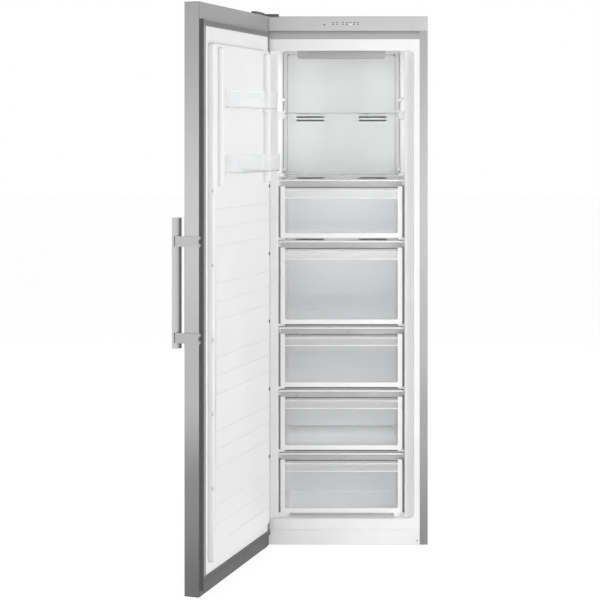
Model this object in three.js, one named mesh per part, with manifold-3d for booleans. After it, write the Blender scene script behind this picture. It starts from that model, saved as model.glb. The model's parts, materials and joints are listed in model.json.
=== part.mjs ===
// Upright freezer with its door standing open: five drawers, two glass shelves and two door racks.
// Millimetres, +Z up, front towards -Y. Inside the groups, z = 0 is the underside of the cabinet.

import * as THREE from 'three';
import { mergeVertices } from 'three/addons/utils/BufferGeometryUtils.js';
import Module from 'manifold-3d';

const wasm = await Module();
wasm.setup();

// ---- Driving dimensions -------------------------------------------------------------------

const cabinetWidth = 595;
const cabinetDepth = 586;
const cabinetHeight = 1820;
const standHeight = 10;
const seat = 0.3;
const sheet = 1;
const bendRadius = 2;

const flangeWidth = 27.5;
const flangeHem = 9;
const backFlange = 15;
const topLip = 20;
const panelHeight = 50.5;
const panelDepth = 40;
const panelProud = 3;
const panelEdge = 4;
const railDepth = 86;
const railSheet = 1.5;
const railEdge = 2;
const panBend = 6;
const lowerRailHeight = 52;
const railLip = 30;
const rearBeadInset = 157;
const rearBeadWidth = 18;
const rearBeadRise = 1.2;

const linerWall = 2.2;
const sideInsulation = 79.5;
const floorInsulation = 90;
const topInsulation = 92;
const rearInsulation = 66;
const cavityCorner = 14;
const ledgeWidth = 31;
const mouthStep = 20;
const mouthDrop = 118;
const mouthCorner = 18;
const ledgeChamfer = 7;
const frameChamfer = 3;

const nicheDepth = 171;
const nicheHeight = 230;
const stepWall = 55;
const stepRise = 70;

const lowerDrawerCount = 3;
const tallDrawerExtra = 81;
const topDrawerHeight = 200;
const shelfZone = 472;
const drawerGap = 12;
const drawerClear = 13;
const drawerSetback = 30;
const drawerRearGap = 20;
const lowestRearGap = 12;
const lipSideGap = 1.5;
const paneSideGap = 6.5;
const paneThickness = 2.5;
const paneSetback = 3;
const paneCorner = 6;
const paneFoot = 1;
const lipHeight = 4;
const gripHeight = 18;
const gripDip = 4.5;
const gripDipInset = 69.5;
const gripDipSlope = 16;
const gripDepth = 11;
const gripWall = 3;
const beadDrops = [39, 52];
const beadHeight = 2.5;
const beadProud = 0.9;
const beadInset = 8;
const basketWall = 2.2;
const basketSideGap = 0.5;
const basketTopGap = 1;
const basketRimHeight = 2.5;
const basketRimWidth = 2.5;
const basketCorner = 22;
const basketBase = 5;
const basketDraft = 1;
const runnerFront = 4;
const runnerReach = 22;
const lowestRunnerReach = 36;
const runnerHeight = 8;

const lowerShelfGap = 15;
const upperShelfDrop = 242;
const shelfThickness = 4;
const shelfSetback = 70;
const shelfSideGap = 4;
const shelfRearGap = 2;
const shelfCorner = 8;
const shelfRibReach = 13;
const ribRearGap = 10;
const spareRibRise = 56;
const shelfStopGap = 4;
const shelfStopHeight = 10;
const shelfStopLength = 60;
const clipWidth = 18;
const clipDrops = [7, 21];
const clipLip = 3;
const clipFront = 50;
const clipLength = 36;

const coverDepth = 70;
const coverSideGap = 1;
const coverWall = 2.5;
const coverFoot = 5;
const coverFlank = 16;
const coverFlankDepth = 36;
const coverCorner = 10;
const slotDrops = [249, 262, 478, 708];
const slotInner = 66;
const slotMargin = 48;
const slotHeight = 6;

const lampInset = 65;
const lampHeight = 50.5;
const lampDepth = 60;
const lampSetback = 50;
const lampCorner = 8;

const doorThickness = 50;
const doorGap = 12;
const doorBottom = 4;
const doorTopGap = 2;
const doorOpening = 108;
const hingeInset = 20;
const hingeForward = 35;
const pinRadius = 4.5;
const pinPlay = 0.15;
const bushRadius = 8;
const bushFlange = 11;
const bushLength = 18;
const doorEdgeRadius = 6;
const lipWidth = 22;
const topCapHeight = 56;
const bottomCapHeight = 56;
const capPlate = 1.7;
const hingeCapStart = 16;
const hingeCapLength = 84;
const hingeCapDepth = 18;
const hingeCapHeight = 8.4;

const gasketWidth = 15;
const gasketInset = 12;
const gasketTopInset = 57;
const gasketBottomInset = 42;
const gasketFoot = 2.2;
const gasketFold = 1.5;
const gasketRound = 1;

const plateauSideGap = 4;
const plateauTopGap = 6;
const plateauFoot = 5;
const plateauRise = 19;
const plateauCorner = 14;
const plateauSideWall = 7;
const plateauRound = 6;
const flangeFace = 5;
const notchDrop = 18;
const notchCount = 5;
const notchHeight = 10;
const notchDepth = 5;
const lineInset = 20;
const lineWidth = 5;
const lineDepth = 1.3;
const linesPerPanel = 3;
const rimFoot = 1;
const rimTopGap = 16;
const rimWidth = 26;
const rimRise = 16;
const rimInset = 35.5;
const rimEdge = 5;

const rackGaps = [15, 5];
const rackDepths = [63, 55];
const rackHeight = 58;
const rackWall = 2.2;
const rackCorner = 16;
const rackBase = 4;
const rackDraft = 1.5;
const lugHeight = 8;
const lugLength = 7;
const lugSetback = 4;

const handleBottom = 758;
const handleLength = 400;
const handleWidth = 30;
const handleDepth = 26;
const handleFlat = 12;
const handleEdge = 3;
const handleStandoff = 15;
const bracketHeight = 32;
const upperBracketInset = 56;
const lowerBracketInset = 17;
const bracketPlate = 3.5;
const bracketSetback = 10;
const bracketLip = 3.5;
const bracketLipWidth = 12;
const bracketNotch = 14;

const hingePlate = 3;
const hingeReach = 12;
const hingeScrew = 5;
const hingeScrewHead = 2;
const topHingeDepth = 70;
const topHingeWidth = 66;
const topHingeInset = 8;
const hingeCoverHeight = 7;
const hingeCoverMargin = 7;
const hingeCoverWall = 1.4;
const hingeCoverFront = 8;
const lowerHingeInset = 4;
const lowerHingeWidth = 40;
const lowerHingeDepth = 42;
const lowerHingePlate = 4;

const footInset = 38;
const footY = 62;
const footPad = 17;
const footPadHeight = 5;
const footNeck = 8;
const footStem = 5;
const footStemTop = 30;
const rollerInset = 46.5;
const rollerRear = 46;
const rollerRadius = 13;
const rollerWidth = 18;
const rollerHub = 6;
const axleRadius = 3;
const bracketFoot = 22;
const bracketSheet = 2;
const bracketDepth = 18;
const carrierGap = 10;
const carrierRearGap = 6;
const carrierLip = 14;

const compressorX = 30;
const compressorMargin = 13.5;
const compressorStretch = 1.2;
const compressorPlateLength = 210;
const compressorPlate = 3.2;
const terminalReach = 32;
const terminalWidth = 52;
const terminalHeight = 65;
const grommetHeight = 14;
const grommetRadius = 11;
const trayLength = 190;
const trayMargin = 4;
const trayWall = 2;
const trayHeight = 26;
const trayHeadroom = 20;
const tubeRadius = 3.2;
const stubReach = 6;
const stubRadius = 4.5;
const tubeDrop = 8;
const hotStubX = -30;
const hotStubZ = 60;
const hotEndX = -190;
const coldStubX = 20;
const coldStubZ = 46;
const coldEndX = 170;
const drierRadius = 8;
const drierLength = 65;
const drierDrop = 40;
const inletInset = 106.5;
const inletWidth = 40;
const inletDepth = 30;
const inletHeight = 36;
const socketWidth = 26;
const socketHeight = 17;
const socketDepth = 20;
const socketPin = 11;

const fanDrop = 603;
const fanRadius = 48;
const bladeCount = 7;
const bladeThickness = 1.8;
const shroudSize = 124;
const shroudSetback = 44;
const shroudPlate = 3;
const shroudPost = 5;
const fanSetback = 52;
const hubDepth = 20;
const hubRadius = 13;
const motorRadius = 20;
const motorLength = 26;
const shaftRadius = 2;
const coilRise = 260;
const coilInset = 67;
const coilFins = 5;
const coilFin = 1.2;
const coilPasses = 4;
const coilPitch = 34;
const coilDepth = 40;
const coilTube = 4;
const coilSetback = 8;

// ---- Places worked out from the dimensions --------------------------------------------------

const halfWidth = cabinetWidth / 2;
const halfInside = halfWidth - sheet;
const frameHalf = halfWidth - flangeWidth;
const cavityHalf = halfWidth - sideInsulation;
const cavityFloor = floorInsulation;
const cavityTop = cabinetHeight - topInsulation;
const cavityDepth = cabinetDepth - rearInsulation;
const mouthHalf = cavityHalf + ledgeWidth;
const mouthTop = cabinetHeight - mouthDrop;
const upperRailTop = cabinetHeight - panelHeight;
const upperRailBottom = upperRailTop - flangeWidth;
const nicheFront = cabinetDepth - nicheDepth;
const stepFront = nicheFront - stepWall;
const stepTop = nicheHeight + stepRise;
const rearSheetBack = cabinetDepth - sheet - seat;
const rearSheetFront = rearSheetBack - sheet;
const coverFront = cavityDepth - coverDepth;
const coverHalf = cavityHalf - coverSideGap;
const coverBack = cavityDepth - seat;
const fanHeight = cavityTop - fanDrop;

const stackTop = cavityTop - shelfZone;
const stackSpace = stackTop - topDrawerHeight - cavityFloor - drawerClear - (lowerDrawerCount + 1) * drawerGap;
const lowDrawerHeight = (stackSpace - tallDrawerExtra) / (lowerDrawerCount + 1);
const drawerHeights = Array(lowerDrawerCount).fill(lowDrawerHeight);
drawerHeights.push(lowDrawerHeight + tallDrawerExtra, topDrawerHeight);
const paneHalf = cavityHalf - paneSideGap;
const paneBack = paneSetback + gripDepth + gripWall;
const shelfHeights = [stackTop + lowerShelfGap, cavityTop - upperShelfDrop];
const rackHeights = shelfHeights.map((height, index) => height + shelfThickness + rackGaps[index]);

const doorTop = cabinetHeight - doorTopGap;
const hingeX = -halfWidth + hingeInset;
const doorFront = hingeForward - doorGap - doorThickness;
const doorBack = hingeForward - doorGap;
const doorLeft = -hingeInset;
const doorRight = doorLeft + cabinetWidth;
const skinBottom = doorBottom + capPlate + seat;
const skinTop = doorTop - capPlate - seat;
const gasketTop = doorTop - gasketTopInset;
const gasketBottom = doorBottom + gasketBottomInset;
const gasketRight = doorRight - gasketInset;
const gasketLeft = doorLeft + gasketInset;
const linerRight = gasketRight - gasketWidth - seat;
const linerLeft = gasketLeft + gasketWidth + seat;
const linerTop = gasketTop - gasketWidth - seat;
const linerBottom = gasketBottom + gasketWidth + seat;
const linerBack = doorBack + seat;
const linerFace = hingeForward - flangeFace;
const plateauFace = linerFace + plateauRise;
const plateauLeft = -hingeX - mouthHalf + plateauSideGap;
const plateauRight = -hingeX + mouthHalf - plateauSideGap;
const plateauTop = mouthTop - plateauTopGap;
const plateauBottom = cavityFloor + plateauFoot;
const rimFace = plateauFace + rimRise;
const rimBottom = stackTop + rimFoot;
const rimTop = plateauTop - rimTopGap;
const rimOuterRight = plateauRight - rimInset;
const rimInnerRight = rimOuterRight - rimWidth;
const rimOuterLeft = plateauLeft + rimInset;
const rimInnerLeft = rimOuterLeft + rimWidth;
const notchTop = rimBottom - notchDrop;
const notchPitch = (notchTop - plateauBottom) / notchCount;
const handleTop = handleBottom + handleLength;
const barBack = doorFront - handleStandoff;
const barFront = barBack - handleDepth;

const footX = frameHalf - footInset;
const rollerX = halfInside - rollerInset;
const rollerY = cabinetDepth - rollerRear;
const axleHeight = rollerRadius - standHeight;
const carrierFront = nicheFront + carrierGap;
const carrierRear = cabinetDepth - carrierRearGap;
const compressorY = (carrierFront + carrierRear) / 2;
const compressorRadius = (carrierRear - carrierFront) / 2 - compressorMargin;
const compressorFoot = railSheet + seat + grommetHeight;
const trayFloor = nicheHeight - trayHeadroom - trayHeight;
const compressorHeight = trayFloor - seat - compressorFoot;

// ---- Colours ----------------------------------------------------------------------------------

function paint(color, roughness, metalness = 0, opacity = 1) {
  return new THREE.MeshStandardMaterial({ color, roughness, metalness, opacity, transparent: opacity < 1 });
}

const steelPaint = () => paint('#c3c4c4', 0.45, 0.6);
const brushedSteel = () => paint('#b9babb', 0.35, 0.9);
const whiteLiner = () => paint('#ececec', 0.35);
const clearPlastic = () => paint('#dfe3e6', 0.12, 0, 0.4);
const glass = () => paint('#dfe9e6', 0.05, 0, 0.35);
const greyPlastic = () => paint('#9c9d9d', 0.5);
const darkPlastic = () => paint('#4c4d4f', 0.5);
const gasketGrey = () => paint('#959596', 0.7);
const zinc = () => paint('#a9adb0', 0.4, 0.8);
const blackPaint = () => paint('#202224', 0.4, 0.3);
const copper = () => paint('#b5764e', 0.35, 0.9);
const foamYellow = () => paint('#d9cfa3', 0.9);

// ---- Shape helpers ------------------------------------------------------------------------------

function vec(x, y, z) {
  return new THREE.Vector3(x, y, z);
}

// A closed outline. Each corner is [a, b] or [a, b, radius].
function outline(corners, steps = 3) {
  const points = [];
  corners.forEach(([a, b, radius = 0], index) => {
    const here = new THREE.Vector2(a, b);
    if (radius === 0) {
      points.push(here);
      return;
    }
    const last = corners[(index + corners.length - 1) % corners.length];
    const next = corners[(index + 1) % corners.length];
    const back = new THREE.Vector2(last[0], last[1]).sub(here).normalize();
    const ahead = new THREE.Vector2(next[0], next[1]).sub(here).normalize();
    const half = back.angleTo(ahead) / 2;
    const centre = back.clone().add(ahead).normalize().multiplyScalar(radius / Math.sin(half)).add(here);
    const start = back.clone().multiplyScalar(radius / Math.tan(half)).add(here).sub(centre);
    const end = ahead.clone().multiplyScalar(radius / Math.tan(half)).add(here).sub(centre);
    let turn = end.angle() - start.angle();
    if (turn > Math.PI) turn -= 2 * Math.PI;
    if (turn < -Math.PI) turn += 2 * Math.PI;
    for (let step = 0; step <= steps; step += 1) {
      const arm = start.clone().rotateAround(new THREE.Vector2(0, 0), (turn * step) / steps);
      points.push(arm.add(centre));
    }
  });
  return new THREE.Shape(points);
}

function rectangle(a0, a1, b0, b1, radius = 0, steps = 3) {
  return outline([[a0, b0, radius], [a1, b0, radius], [a1, b1, radius], [a0, b1, radius]], steps);
}

// A triangle mesh with shared corners becomes a solid that can be cut and joined.
function solid(geometry) {
  const bare = geometry.clone();
  bare.deleteAttribute('normal');
  bare.deleteAttribute('uv');
  const merged = mergeVertices(bare, 1e-4);
  const corners = merged.index.array;
  const kept = [];
  for (let i = 0; i < corners.length; i += 3) {
    const [a, b, c] = [corners[i], corners[i + 1], corners[i + 2]];
    if (a !== b && b !== c && c !== a) kept.push(a, b, c);
  }
  const mesh = new wasm.Mesh({
    numProp: 3,
    vertProperties: new Float32Array(merged.attributes.position.array),
    triVerts: new Uint32Array(kept),
  });
  return new wasm.Manifold(mesh);
}

function geometryOf(shape) {
  const mesh = shape.getMesh();
  const geometry = new THREE.BufferGeometry();
  geometry.setAttribute('position', new THREE.BufferAttribute(new Float32Array(mesh.vertProperties), 3));
  geometry.setIndex(new THREE.BufferAttribute(new Uint32Array(mesh.triVerts), 1));
  const flat = geometry.toNonIndexed();
  flat.computeVertexNormals();
  return flat;
}

const towards = {
  x: new THREE.Matrix4().set(0, 0, 1, 0, 1, 0, 0, 0, 0, 1, 0, 0, 0, 0, 0, 1),
  y: new THREE.Matrix4().set(1, 0, 0, 0, 0, 0, -1, 0, 0, 1, 0, 0, 0, 0, 0, 1),
  z: new THREE.Matrix4(),
};

// An outline run along one axis: (y, z) along x, (x, z) along y, (x, y) along z.
function prism(shape, axis, from, to) {
  const geometry = new THREE.ExtrudeGeometry(shape, { depth: to - from, bevelEnabled: false });
  geometry.applyMatrix4(towards[axis]);
  const shift = { x: vec(from, 0, 0), y: vec(0, to, 0), z: vec(0, 0, from) }[axis];
  geometry.translate(shift.x, shift.y, shift.z);
  return solid(geometry);
}

function block(x0, x1, y0, y1, z0, z1) {
  const geometry = new THREE.BoxGeometry(x1 - x0, y1 - y0, z1 - z0);
  geometry.translate((x0 + x1) / 2, (y0 + y1) / 2, (z0 + z1) / 2);
  return solid(geometry);
}

// A round bar between two places on one axis.
function rod(axis, centre, radius, from, to, sides = 20) {
  const geometry = new THREE.CylinderGeometry(radius, radius, to - from, sides);
  const middle = (from + to) / 2;
  if (axis === 'x') geometry.rotateZ(-Math.PI / 2);
  if (axis === 'z') geometry.rotateX(Math.PI / 2);
  const places = {
    x: vec(middle, centre[0], centre[1]),
    y: vec(centre[0], middle, centre[1]),
    z: vec(centre[0], centre[1], middle),
  };
  geometry.translate(places[axis].x, places[axis].y, places[axis].z);
  return solid(geometry);
}

// A turned piece: profile of [radius, height] from axis to axis, upright.
function turned(profile, sides = 20) {
  const points = profile.map(([radius, height]) => new THREE.Vector2(radius, height));
  const geometry = new THREE.LatheGeometry(points, sides);
  geometry.rotateX(Math.PI / 2);
  return solid(geometry);
}

// Closed skin through rings of equal point count, flat at both ends.
function loft(rings) {
  const count = rings[0].length;
  const positions = rings.flat().flatMap((point) => [point.x, point.y, point.z]);
  const faces = [];
  for (let ring = 0; ring + 1 < rings.length; ring += 1) {
    for (let i = 0; i < count; i += 1) {
      const a = ring * count + i;
      const b = ring * count + ((i + 1) % count);
      faces.push(a, b, b + count, a, b + count, a + count);
    }
  }
  const last = (rings.length - 1) * count;
  for (let i = 1; i + 1 < count; i += 1) {
    faces.push(0, i + 1, i);
    faces.push(last, last + i, last + i + 1);
  }
  const geometry = new THREE.BufferGeometry();
  geometry.setAttribute('position', new THREE.Float32BufferAttribute(positions, 3));
  geometry.setIndex(faces);
  return solid(geometry);
}

// A rounded rectangle lifted into space by a function of its two coordinates.
function ring(a0, a1, b0, b1, radius, place, steps = 3) {
  return rectangle(a0, a1, b0, b1, radius, steps).getPoints().slice(0, 4 * (steps + 1))
    .map((point) => place(point.x, point.y));
}

function union(...shapes) {
  return shapes.reduce((sum, shape) => sum.add(shape));
}

function cut(body, ...tools) {
  return tools.reduce((rest, tool) => rest.subtract(tool), body);
}

function mirrored(shape) {
  return shape.mirror([1, 0, 0]);
}

function both(shape) {
  return shape.add(mirrored(shape));
}

function piece(group, name, shape, material) {
  const mesh = new THREE.Mesh(geometryOf(shape), material);
  mesh.name = name;
  group.add(mesh);
  return mesh;
}

// An open-topped moulded tray with drafted walls, a rounded base and an outward rim.
function tray({ x0, x1, y0, y1, height, wall, corner, base, draft, rim, rimHeight }) {
  const lift = (z) => (x, y) => vec(x, y, z);
  const level = (z, inset, round) => (
    ring(x0 + inset, x1 - inset, y0 + inset, y1 - inset, round, lift(z))
  );
  const outer = loft([
    level(0, draft + base, corner - base),
    level(base * 0.3, draft + base * 0.3, corner - base * 0.3),
    level(base, draft, corner),
    level(height, 0, corner),
  ]);
  const inner = loft([
    level(wall, draft + base + wall * 0.6, corner - base),
    level(wall + base * 0.3, draft + base * 0.3 + wall, corner - base * 0.3 - wall / 2),
    level(wall + base, draft + wall, corner - wall / 2),
    level(height + wall, wall, corner - wall / 2),
  ]);
  if (rim === 0) return cut(outer, inner);
  const edge = loft([
    level(height - rimHeight, -rim, corner + rim),
    level(height, -rim, corner + rim),
  ]);
  return cut(union(outer, edge), inner);
}

// ---- Cabinet shell -----------------------------------------------------------------------------

function sidePanel() {
  const inner = halfInside;
  const hemInner = frameHalf + sheet;
  const profile = outline([
    [frameHalf, 0], [halfWidth, 0, bendRadius], [halfWidth, cabinetDepth, bendRadius],
    [halfWidth - backFlange, cabinetDepth], [halfWidth - backFlange, cabinetDepth - sheet],
    [inner, cabinetDepth - sheet, bendRadius - sheet], [inner, sheet, bendRadius - sheet],
    [hemInner, sheet], [hemInner, flangeHem], [frameHalf, flangeHem],
  ]);
  const full = prism(profile, 'z', 0, cabinetHeight);
  return cut(full, block(0, halfWidth + 1, -1, panelDepth + seat, upperRailTop, cabinetHeight + 1));
}

function topPanel() {
  const front = panelDepth + seat;
  const profile = outline([
    [front, cabinetHeight], [rearSheetBack, cabinetHeight], [rearSheetBack, cabinetHeight - sheet],
    [front + sheet, cabinetHeight - sheet], [front + sheet, cabinetHeight - topLip],
    [front, cabinetHeight - topLip],
  ]);
  return prism(profile, 'x', -halfInside + 2 * seat, halfInside - 2 * seat);
}

function rearPanel() {
  const half = halfInside - 2 * seat;
  const top = rearSheetBack + rearBeadRise;
  const bead = (middle) => [
    [middle + rearBeadWidth / 2, rearSheetBack], [middle + rearBeadWidth / 4, top],
    [middle - rearBeadWidth / 4, top], [middle - rearBeadWidth / 2, rearSheetBack],
  ];
  const profile = outline([
    [half, rearSheetFront], [half, rearSheetBack], ...bead(half - rearBeadInset),
    ...bead(rearBeadInset - half), [-half, rearSheetBack], [-half, rearSheetFront],
  ]);
  return prism(profile, 'z', nicheHeight + sheet + seat, cabinetHeight - sheet - seat);
}

function basePan() {
  const rear = rearSheetFront - seat;
  const front = railDepth + seat;
  const profile = outline([
    [front, 0], [nicheFront, 0, panBend], [nicheFront, nicheHeight, panBend], [rear, nicheHeight],
    [rear, nicheHeight + sheet], [nicheFront - sheet, nicheHeight + sheet, panBend + sheet],
    [nicheFront - sheet, sheet, panBend - sheet], [front, sheet],
  ]);
  return prism(profile, 'x', -halfInside + seat, halfInside - seat);
}

function compressorCarrier() {
  const profile = outline([
    [carrierFront, carrierLip], [carrierFront, 0, 3], [carrierRear, 0, 3], [carrierRear, carrierLip],
    [carrierRear - railSheet, carrierLip], [carrierRear - railSheet, railSheet],
    [carrierFront + railSheet, railSheet], [carrierFront + railSheet, carrierLip],
  ]);
  const plate = prism(profile, 'x', -halfInside + seat, halfInside - seat);
  const slotHalf = rollerWidth / 2 + 6;
  const slotReach = rollerRadius + 3;
  const slot = block(rollerX - slotHalf, rollerX + slotHalf, rollerY - slotReach, rollerY + slotReach, -1, 5);
  return cut(plate, both(slot));
}

function lowerRail() {
  const top = lowerRailHeight;
  const profile = outline([
    [0, 0, railEdge], [railDepth, 0], [railDepth, railSheet], [railSheet, railSheet],
    [railSheet, top - railSheet], [railLip, top - railSheet], [railLip, top], [0, top, railEdge],
  ]);
  const rail = prism(profile, 'x', -frameHalf + seat, frameHalf - seat);
  const hole = rod('z', [footX, footY], footStem + seat, -1, railSheet + 1, 12);
  return cut(rail, both(hole));
}

function upperRail() {
  const profile = outline([
    [0, upperRailBottom], [sheet, upperRailBottom], [sheet, upperRailTop - sheet],
    [railLip, upperRailTop - sheet], [railLip, upperRailTop], [0, upperRailTop],
  ]);
  return prism(profile, 'x', -frameHalf + seat, frameHalf - seat);
}

function controlPanel() {
  const bottom = upperRailTop + seat;
  const profile = outline([
    [-panelProud, bottom, panelEdge / 2], [panelDepth, bottom], [panelDepth, cabinetHeight],
    [-panelProud, cabinetHeight, panelEdge],
  ]);
  return prism(profile, 'x', -halfWidth, halfWidth);
}

// The cavity's side outline (y, z), grown outwards by the wall.
function cavityOutline(grow) {
  const front = mouthStep - linerWall - grow;
  return outline([
    [front, cavityFloor - grow], [stepFront + grow, cavityFloor - grow, 6],
    [stepFront + grow, stepTop - grow, 10], [cavityDepth + grow, stepTop - grow],
    [cavityDepth + grow, cavityTop + grow, 10], [front, cavityTop + grow],
  ]);
}

function cavitySpace(grow) {
  const half = cavityHalf + grow;
  const side = prism(cavityOutline(grow), 'x', -half, half);
  const face = rectangle(-half, half, cavityFloor - grow, cavityTop + grow, cavityCorner);
  return side.intersect(prism(face, 'y', 0, cavityDepth + grow + 1));
}

function mouthSpace(grow, from, to) {
  const half = mouthHalf + grow;
  return prism(rectangle(-half, half, cavityFloor - grow, mouthTop + grow, mouthCorner), 'y', from, to);
}

// The chamfer that leads from the ledge round the mouth into the cavity.
function ledgeSpace(grow) {
  const half = cavityHalf + grow;
  const slope = (reach, y) => ring(
    -half - reach, half + reach, cavityFloor - grow, mouthTop + grow, cavityCorner, (x, z) => vec(x, y, z),
  );
  return loft([
    slope(0, mouthStep + ledgeChamfer), slope(ledgeChamfer * 0.3, mouthStep + ledgeChamfer * 0.3),
    slope(ledgeChamfer, mouthStep - 0.01),
  ]);
}

// The rounded edge where the front frame turns into the mouth.
function frameEdge() {
  const slope = (reach, y) => ring(
    -mouthHalf - reach, mouthHalf + reach, cavityFloor, mouthTop + reach, mouthCorner,
    (x, z) => vec(x, y, z),
  );
  return loft([
    slope(0, frameChamfer), slope(frameChamfer * 0.3, frameChamfer * 0.3), slope(frameChamfer, -0.01),
  ]);
}

function linerEnvelope(grow) {
  const frame = block(
    -frameHalf + seat - grow, frameHalf - seat + grow, 0, linerWall + grow,
    lowerRailHeight + seat - grow, upperRailBottom - seat + grow,
  );
  return union(
    frame,
    mouthSpace(linerWall + grow, 0, mouthStep + linerWall + grow),
    ledgeSpace(linerWall + grow),
    cavitySpace(linerWall + grow),
  );
}

// A moulded rib along the cavity's right wall, its flat top at the given height.
function wallRib(top, reach, from, to, height = runnerHeight) {
  const inner = cavityHalf - reach;
  const profile = outline([
    [cavityHalf + 1, top], [cavityHalf + 1, top - height], [inner + 2, top - height + 2, 2],
    [inner, top, 2],
  ], 2);
  return prism(profile, 'y', from, to);
}

// The ledge under the lowest drawer reaches down to the cavity's floor.
function floorLedge(top, from, to) {
  const inner = cavityHalf - lowestRunnerReach;
  const profile = outline([
    [cavityHalf + 1, top], [cavityHalf + 1, cavityFloor - 1], [inner, cavityFloor - 1], [inner, top, 2],
  ], 2);
  return prism(profile, 'y', from, to);
}

function drawerBottom(index) {
  const below = drawerHeights.slice(0, index).reduce((sum, height) => sum + height, 0);
  return cavityFloor + drawerClear + below + index * drawerGap;
}

// A drawer that starts below the top of the rear step ends in front of that step.
function drawerLength(index) {
  const meetsStep = drawerBottom(index) < stepTop + drawerClear;
  const rear = meetsStep ? stepFront - lowestRearGap : coverFront - drawerRearGap;
  return rear - drawerSetback;
}

function innerLiner() {
  const mouth = mouthSpace(0, -1, mouthStep);
  const shell = cut(linerEnvelope(0), mouth, cavitySpace(0), ledgeSpace(0), frameEdge());
  const front = drawerSetback + runnerFront;
  const rear = coverFront - ribRearGap;
  const ribs = drawerHeights.slice(1).map((height, index) => (
    wallRib(drawerBottom(index + 1) - seat, runnerReach, front, drawerSetback + drawerLength(index + 1))
  ));
  ribs.push(floorLedge(drawerBottom(0) - seat, front, drawerSetback + drawerLength(0)));
  shelfHeights.forEach((height) => {
    ribs.push(wallRib(height - seat, shelfRibReach, clipFront + clipLength + seat, rear));
    const stop = height + shelfThickness + shelfStopGap + shelfStopHeight;
    ribs.push(wallRib(stop, shelfRibReach, rear - shelfStopLength, rear, shelfStopHeight));
  });
  ribs.push(wallRib(shelfHeights[1] + spareRibRise, shelfRibReach, clipFront, rear));
  return union(shell, both(union(...ribs)).intersect(cavitySpace(linerWall / 2)));
}

function cabinetFoam() {
  const half = halfInside - seat;
  const thick = sheet + seat;
  const bulk = prism(outline([
    [thick, thick], [nicheFront - thick, thick, panBend - sheet], [nicheFront - thick, nicheHeight + thick],
    [rearSheetFront - seat, nicheHeight + thick], [rearSheetFront - seat, cabinetHeight - thick],
    [thick, cabinetHeight - thick],
  ]), 'x', -half, half);
  const head = block(
    -half - 1, half + 1, -1, panelDepth + sheet + 2 * seat, upperRailTop - seat, cabinetHeight + 1,
  );
  const foot = block(-half - 1, half + 1, -1, railDepth + seat, -1, lowerRailHeight + seat);
  const rail = block(
    -frameHalf, frameHalf, -1, railLip + seat, upperRailBottom - seat, upperRailTop + seat,
  );
  const hem = block(frameHalf - seat, half + 1, -1, flangeHem + seat, -1, cabinetHeight);
  return cut(bulk, linerEnvelope(seat), head, foot, rail, both(hem));
}

// ---- Inside the cavity ---------------------------------------------------------------------------

function evaporatorCover() {
  const low = stepTop + coverFoot;
  const high = cavityTop - seat;
  const face = (inset, y) => ring(
    -coverHalf + inset, coverHalf - inset, low + inset, high - inset, coverCorner, (x, z) => vec(x, y, z),
  );
  const outer = loft([
    face(0, coverBack), face(0, coverFront + coverFlankDepth), face(coverFlank, coverFront),
  ]);
  const inner = loft([
    face(coverWall, coverBack + 1), face(coverWall, coverFront + coverFlankDepth + coverWall / 2),
    face(coverFlank + coverWall / 2, coverFront + coverWall),
  ]);
  const slots = slotDrops.map((drop) => block(
    slotInner, coverHalf - slotMargin, coverFront - 1, coverFront + coverWall + 1,
    cavityTop - drop - slotHeight / 2, cavityTop - drop + slotHeight / 2,
  ));
  const shell = cut(outer, inner, both(union(...slots)));
  return union(shell.intersect(cavitySpace(-seat)), fanRing());
}

// The square plate round the fan stands on four posts behind the cover.
function fanRing() {
  const half = shroudSize / 2;
  const front = coverBack - shroudSetback;
  const back = front + shroudPlate;
  const plate = prism(rectangle(-half, half, fanHeight - half, fanHeight + half, 10), 'y', front, back);
  const opening = rod('y', [0, fanHeight], fanRadius + 4, front - 1, back + 1, 16);
  const reach = half - 2 * shroudPost;
  const posts = [-1, 1].flatMap((sideX) => [-1, 1].map((sideZ) => (
    rod('y', [sideX * reach, fanHeight + sideZ * reach], shroudPost, coverFront + 1, front + 1, 6)
  )));
  return union(cut(plate, opening), ...posts);
}

function interiorLamp() {
  const top = cavityTop - seat;
  const bottom = cavityTop - lampHeight;
  const half = cavityHalf - lampInset;
  const front = prism(
    outline([[-half, top], [-half, bottom, lampCorner], [half, bottom, lampCorner], [half, top]]),
    'y', lampSetback, lampSetback + lampDepth,
  );
  const side = outline([
    [lampSetback, top], [lampSetback, bottom, 2], [lampSetback + lampDepth * 0.7, bottom, 8],
    [lampSetback + lampDepth, top],
  ]);
  return front.intersect(prism(side, 'x', -half - 1, half + 1));
}

function glassShelf(height) {
  const half = cavityHalf - shelfSideGap;
  const plan = rectangle(-half, half, shelfSetback, coverFront - shelfRearGap, shelfCorner);
  return prism(plan, 'z', height, height + shelfThickness);
}

function shelfClip(index) {
  const glassTop = shelfHeights[index] + shelfThickness;
  const top = glassTop + clipLip;
  const bottom = shelfHeights[index] - clipDrops[index];
  const profile = outline([
    [clipFront, top, 3], [clipFront, bottom + 3, 2], [clipFront + 8, bottom, 2],
    [clipFront + clipLength, shelfHeights[index] - 4], [clipFront + clipLength, top],
  ]);
  const wallSide = cavityHalf - seat;
  const body = prism(profile, 'x', wallSide - clipWidth, wallSide);
  const slot = block(0, cavityHalf, shelfSetback - seat, cavityDepth, shelfHeights[index] - seat, glassTop + seat);
  return cut(body, slot);
}

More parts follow.
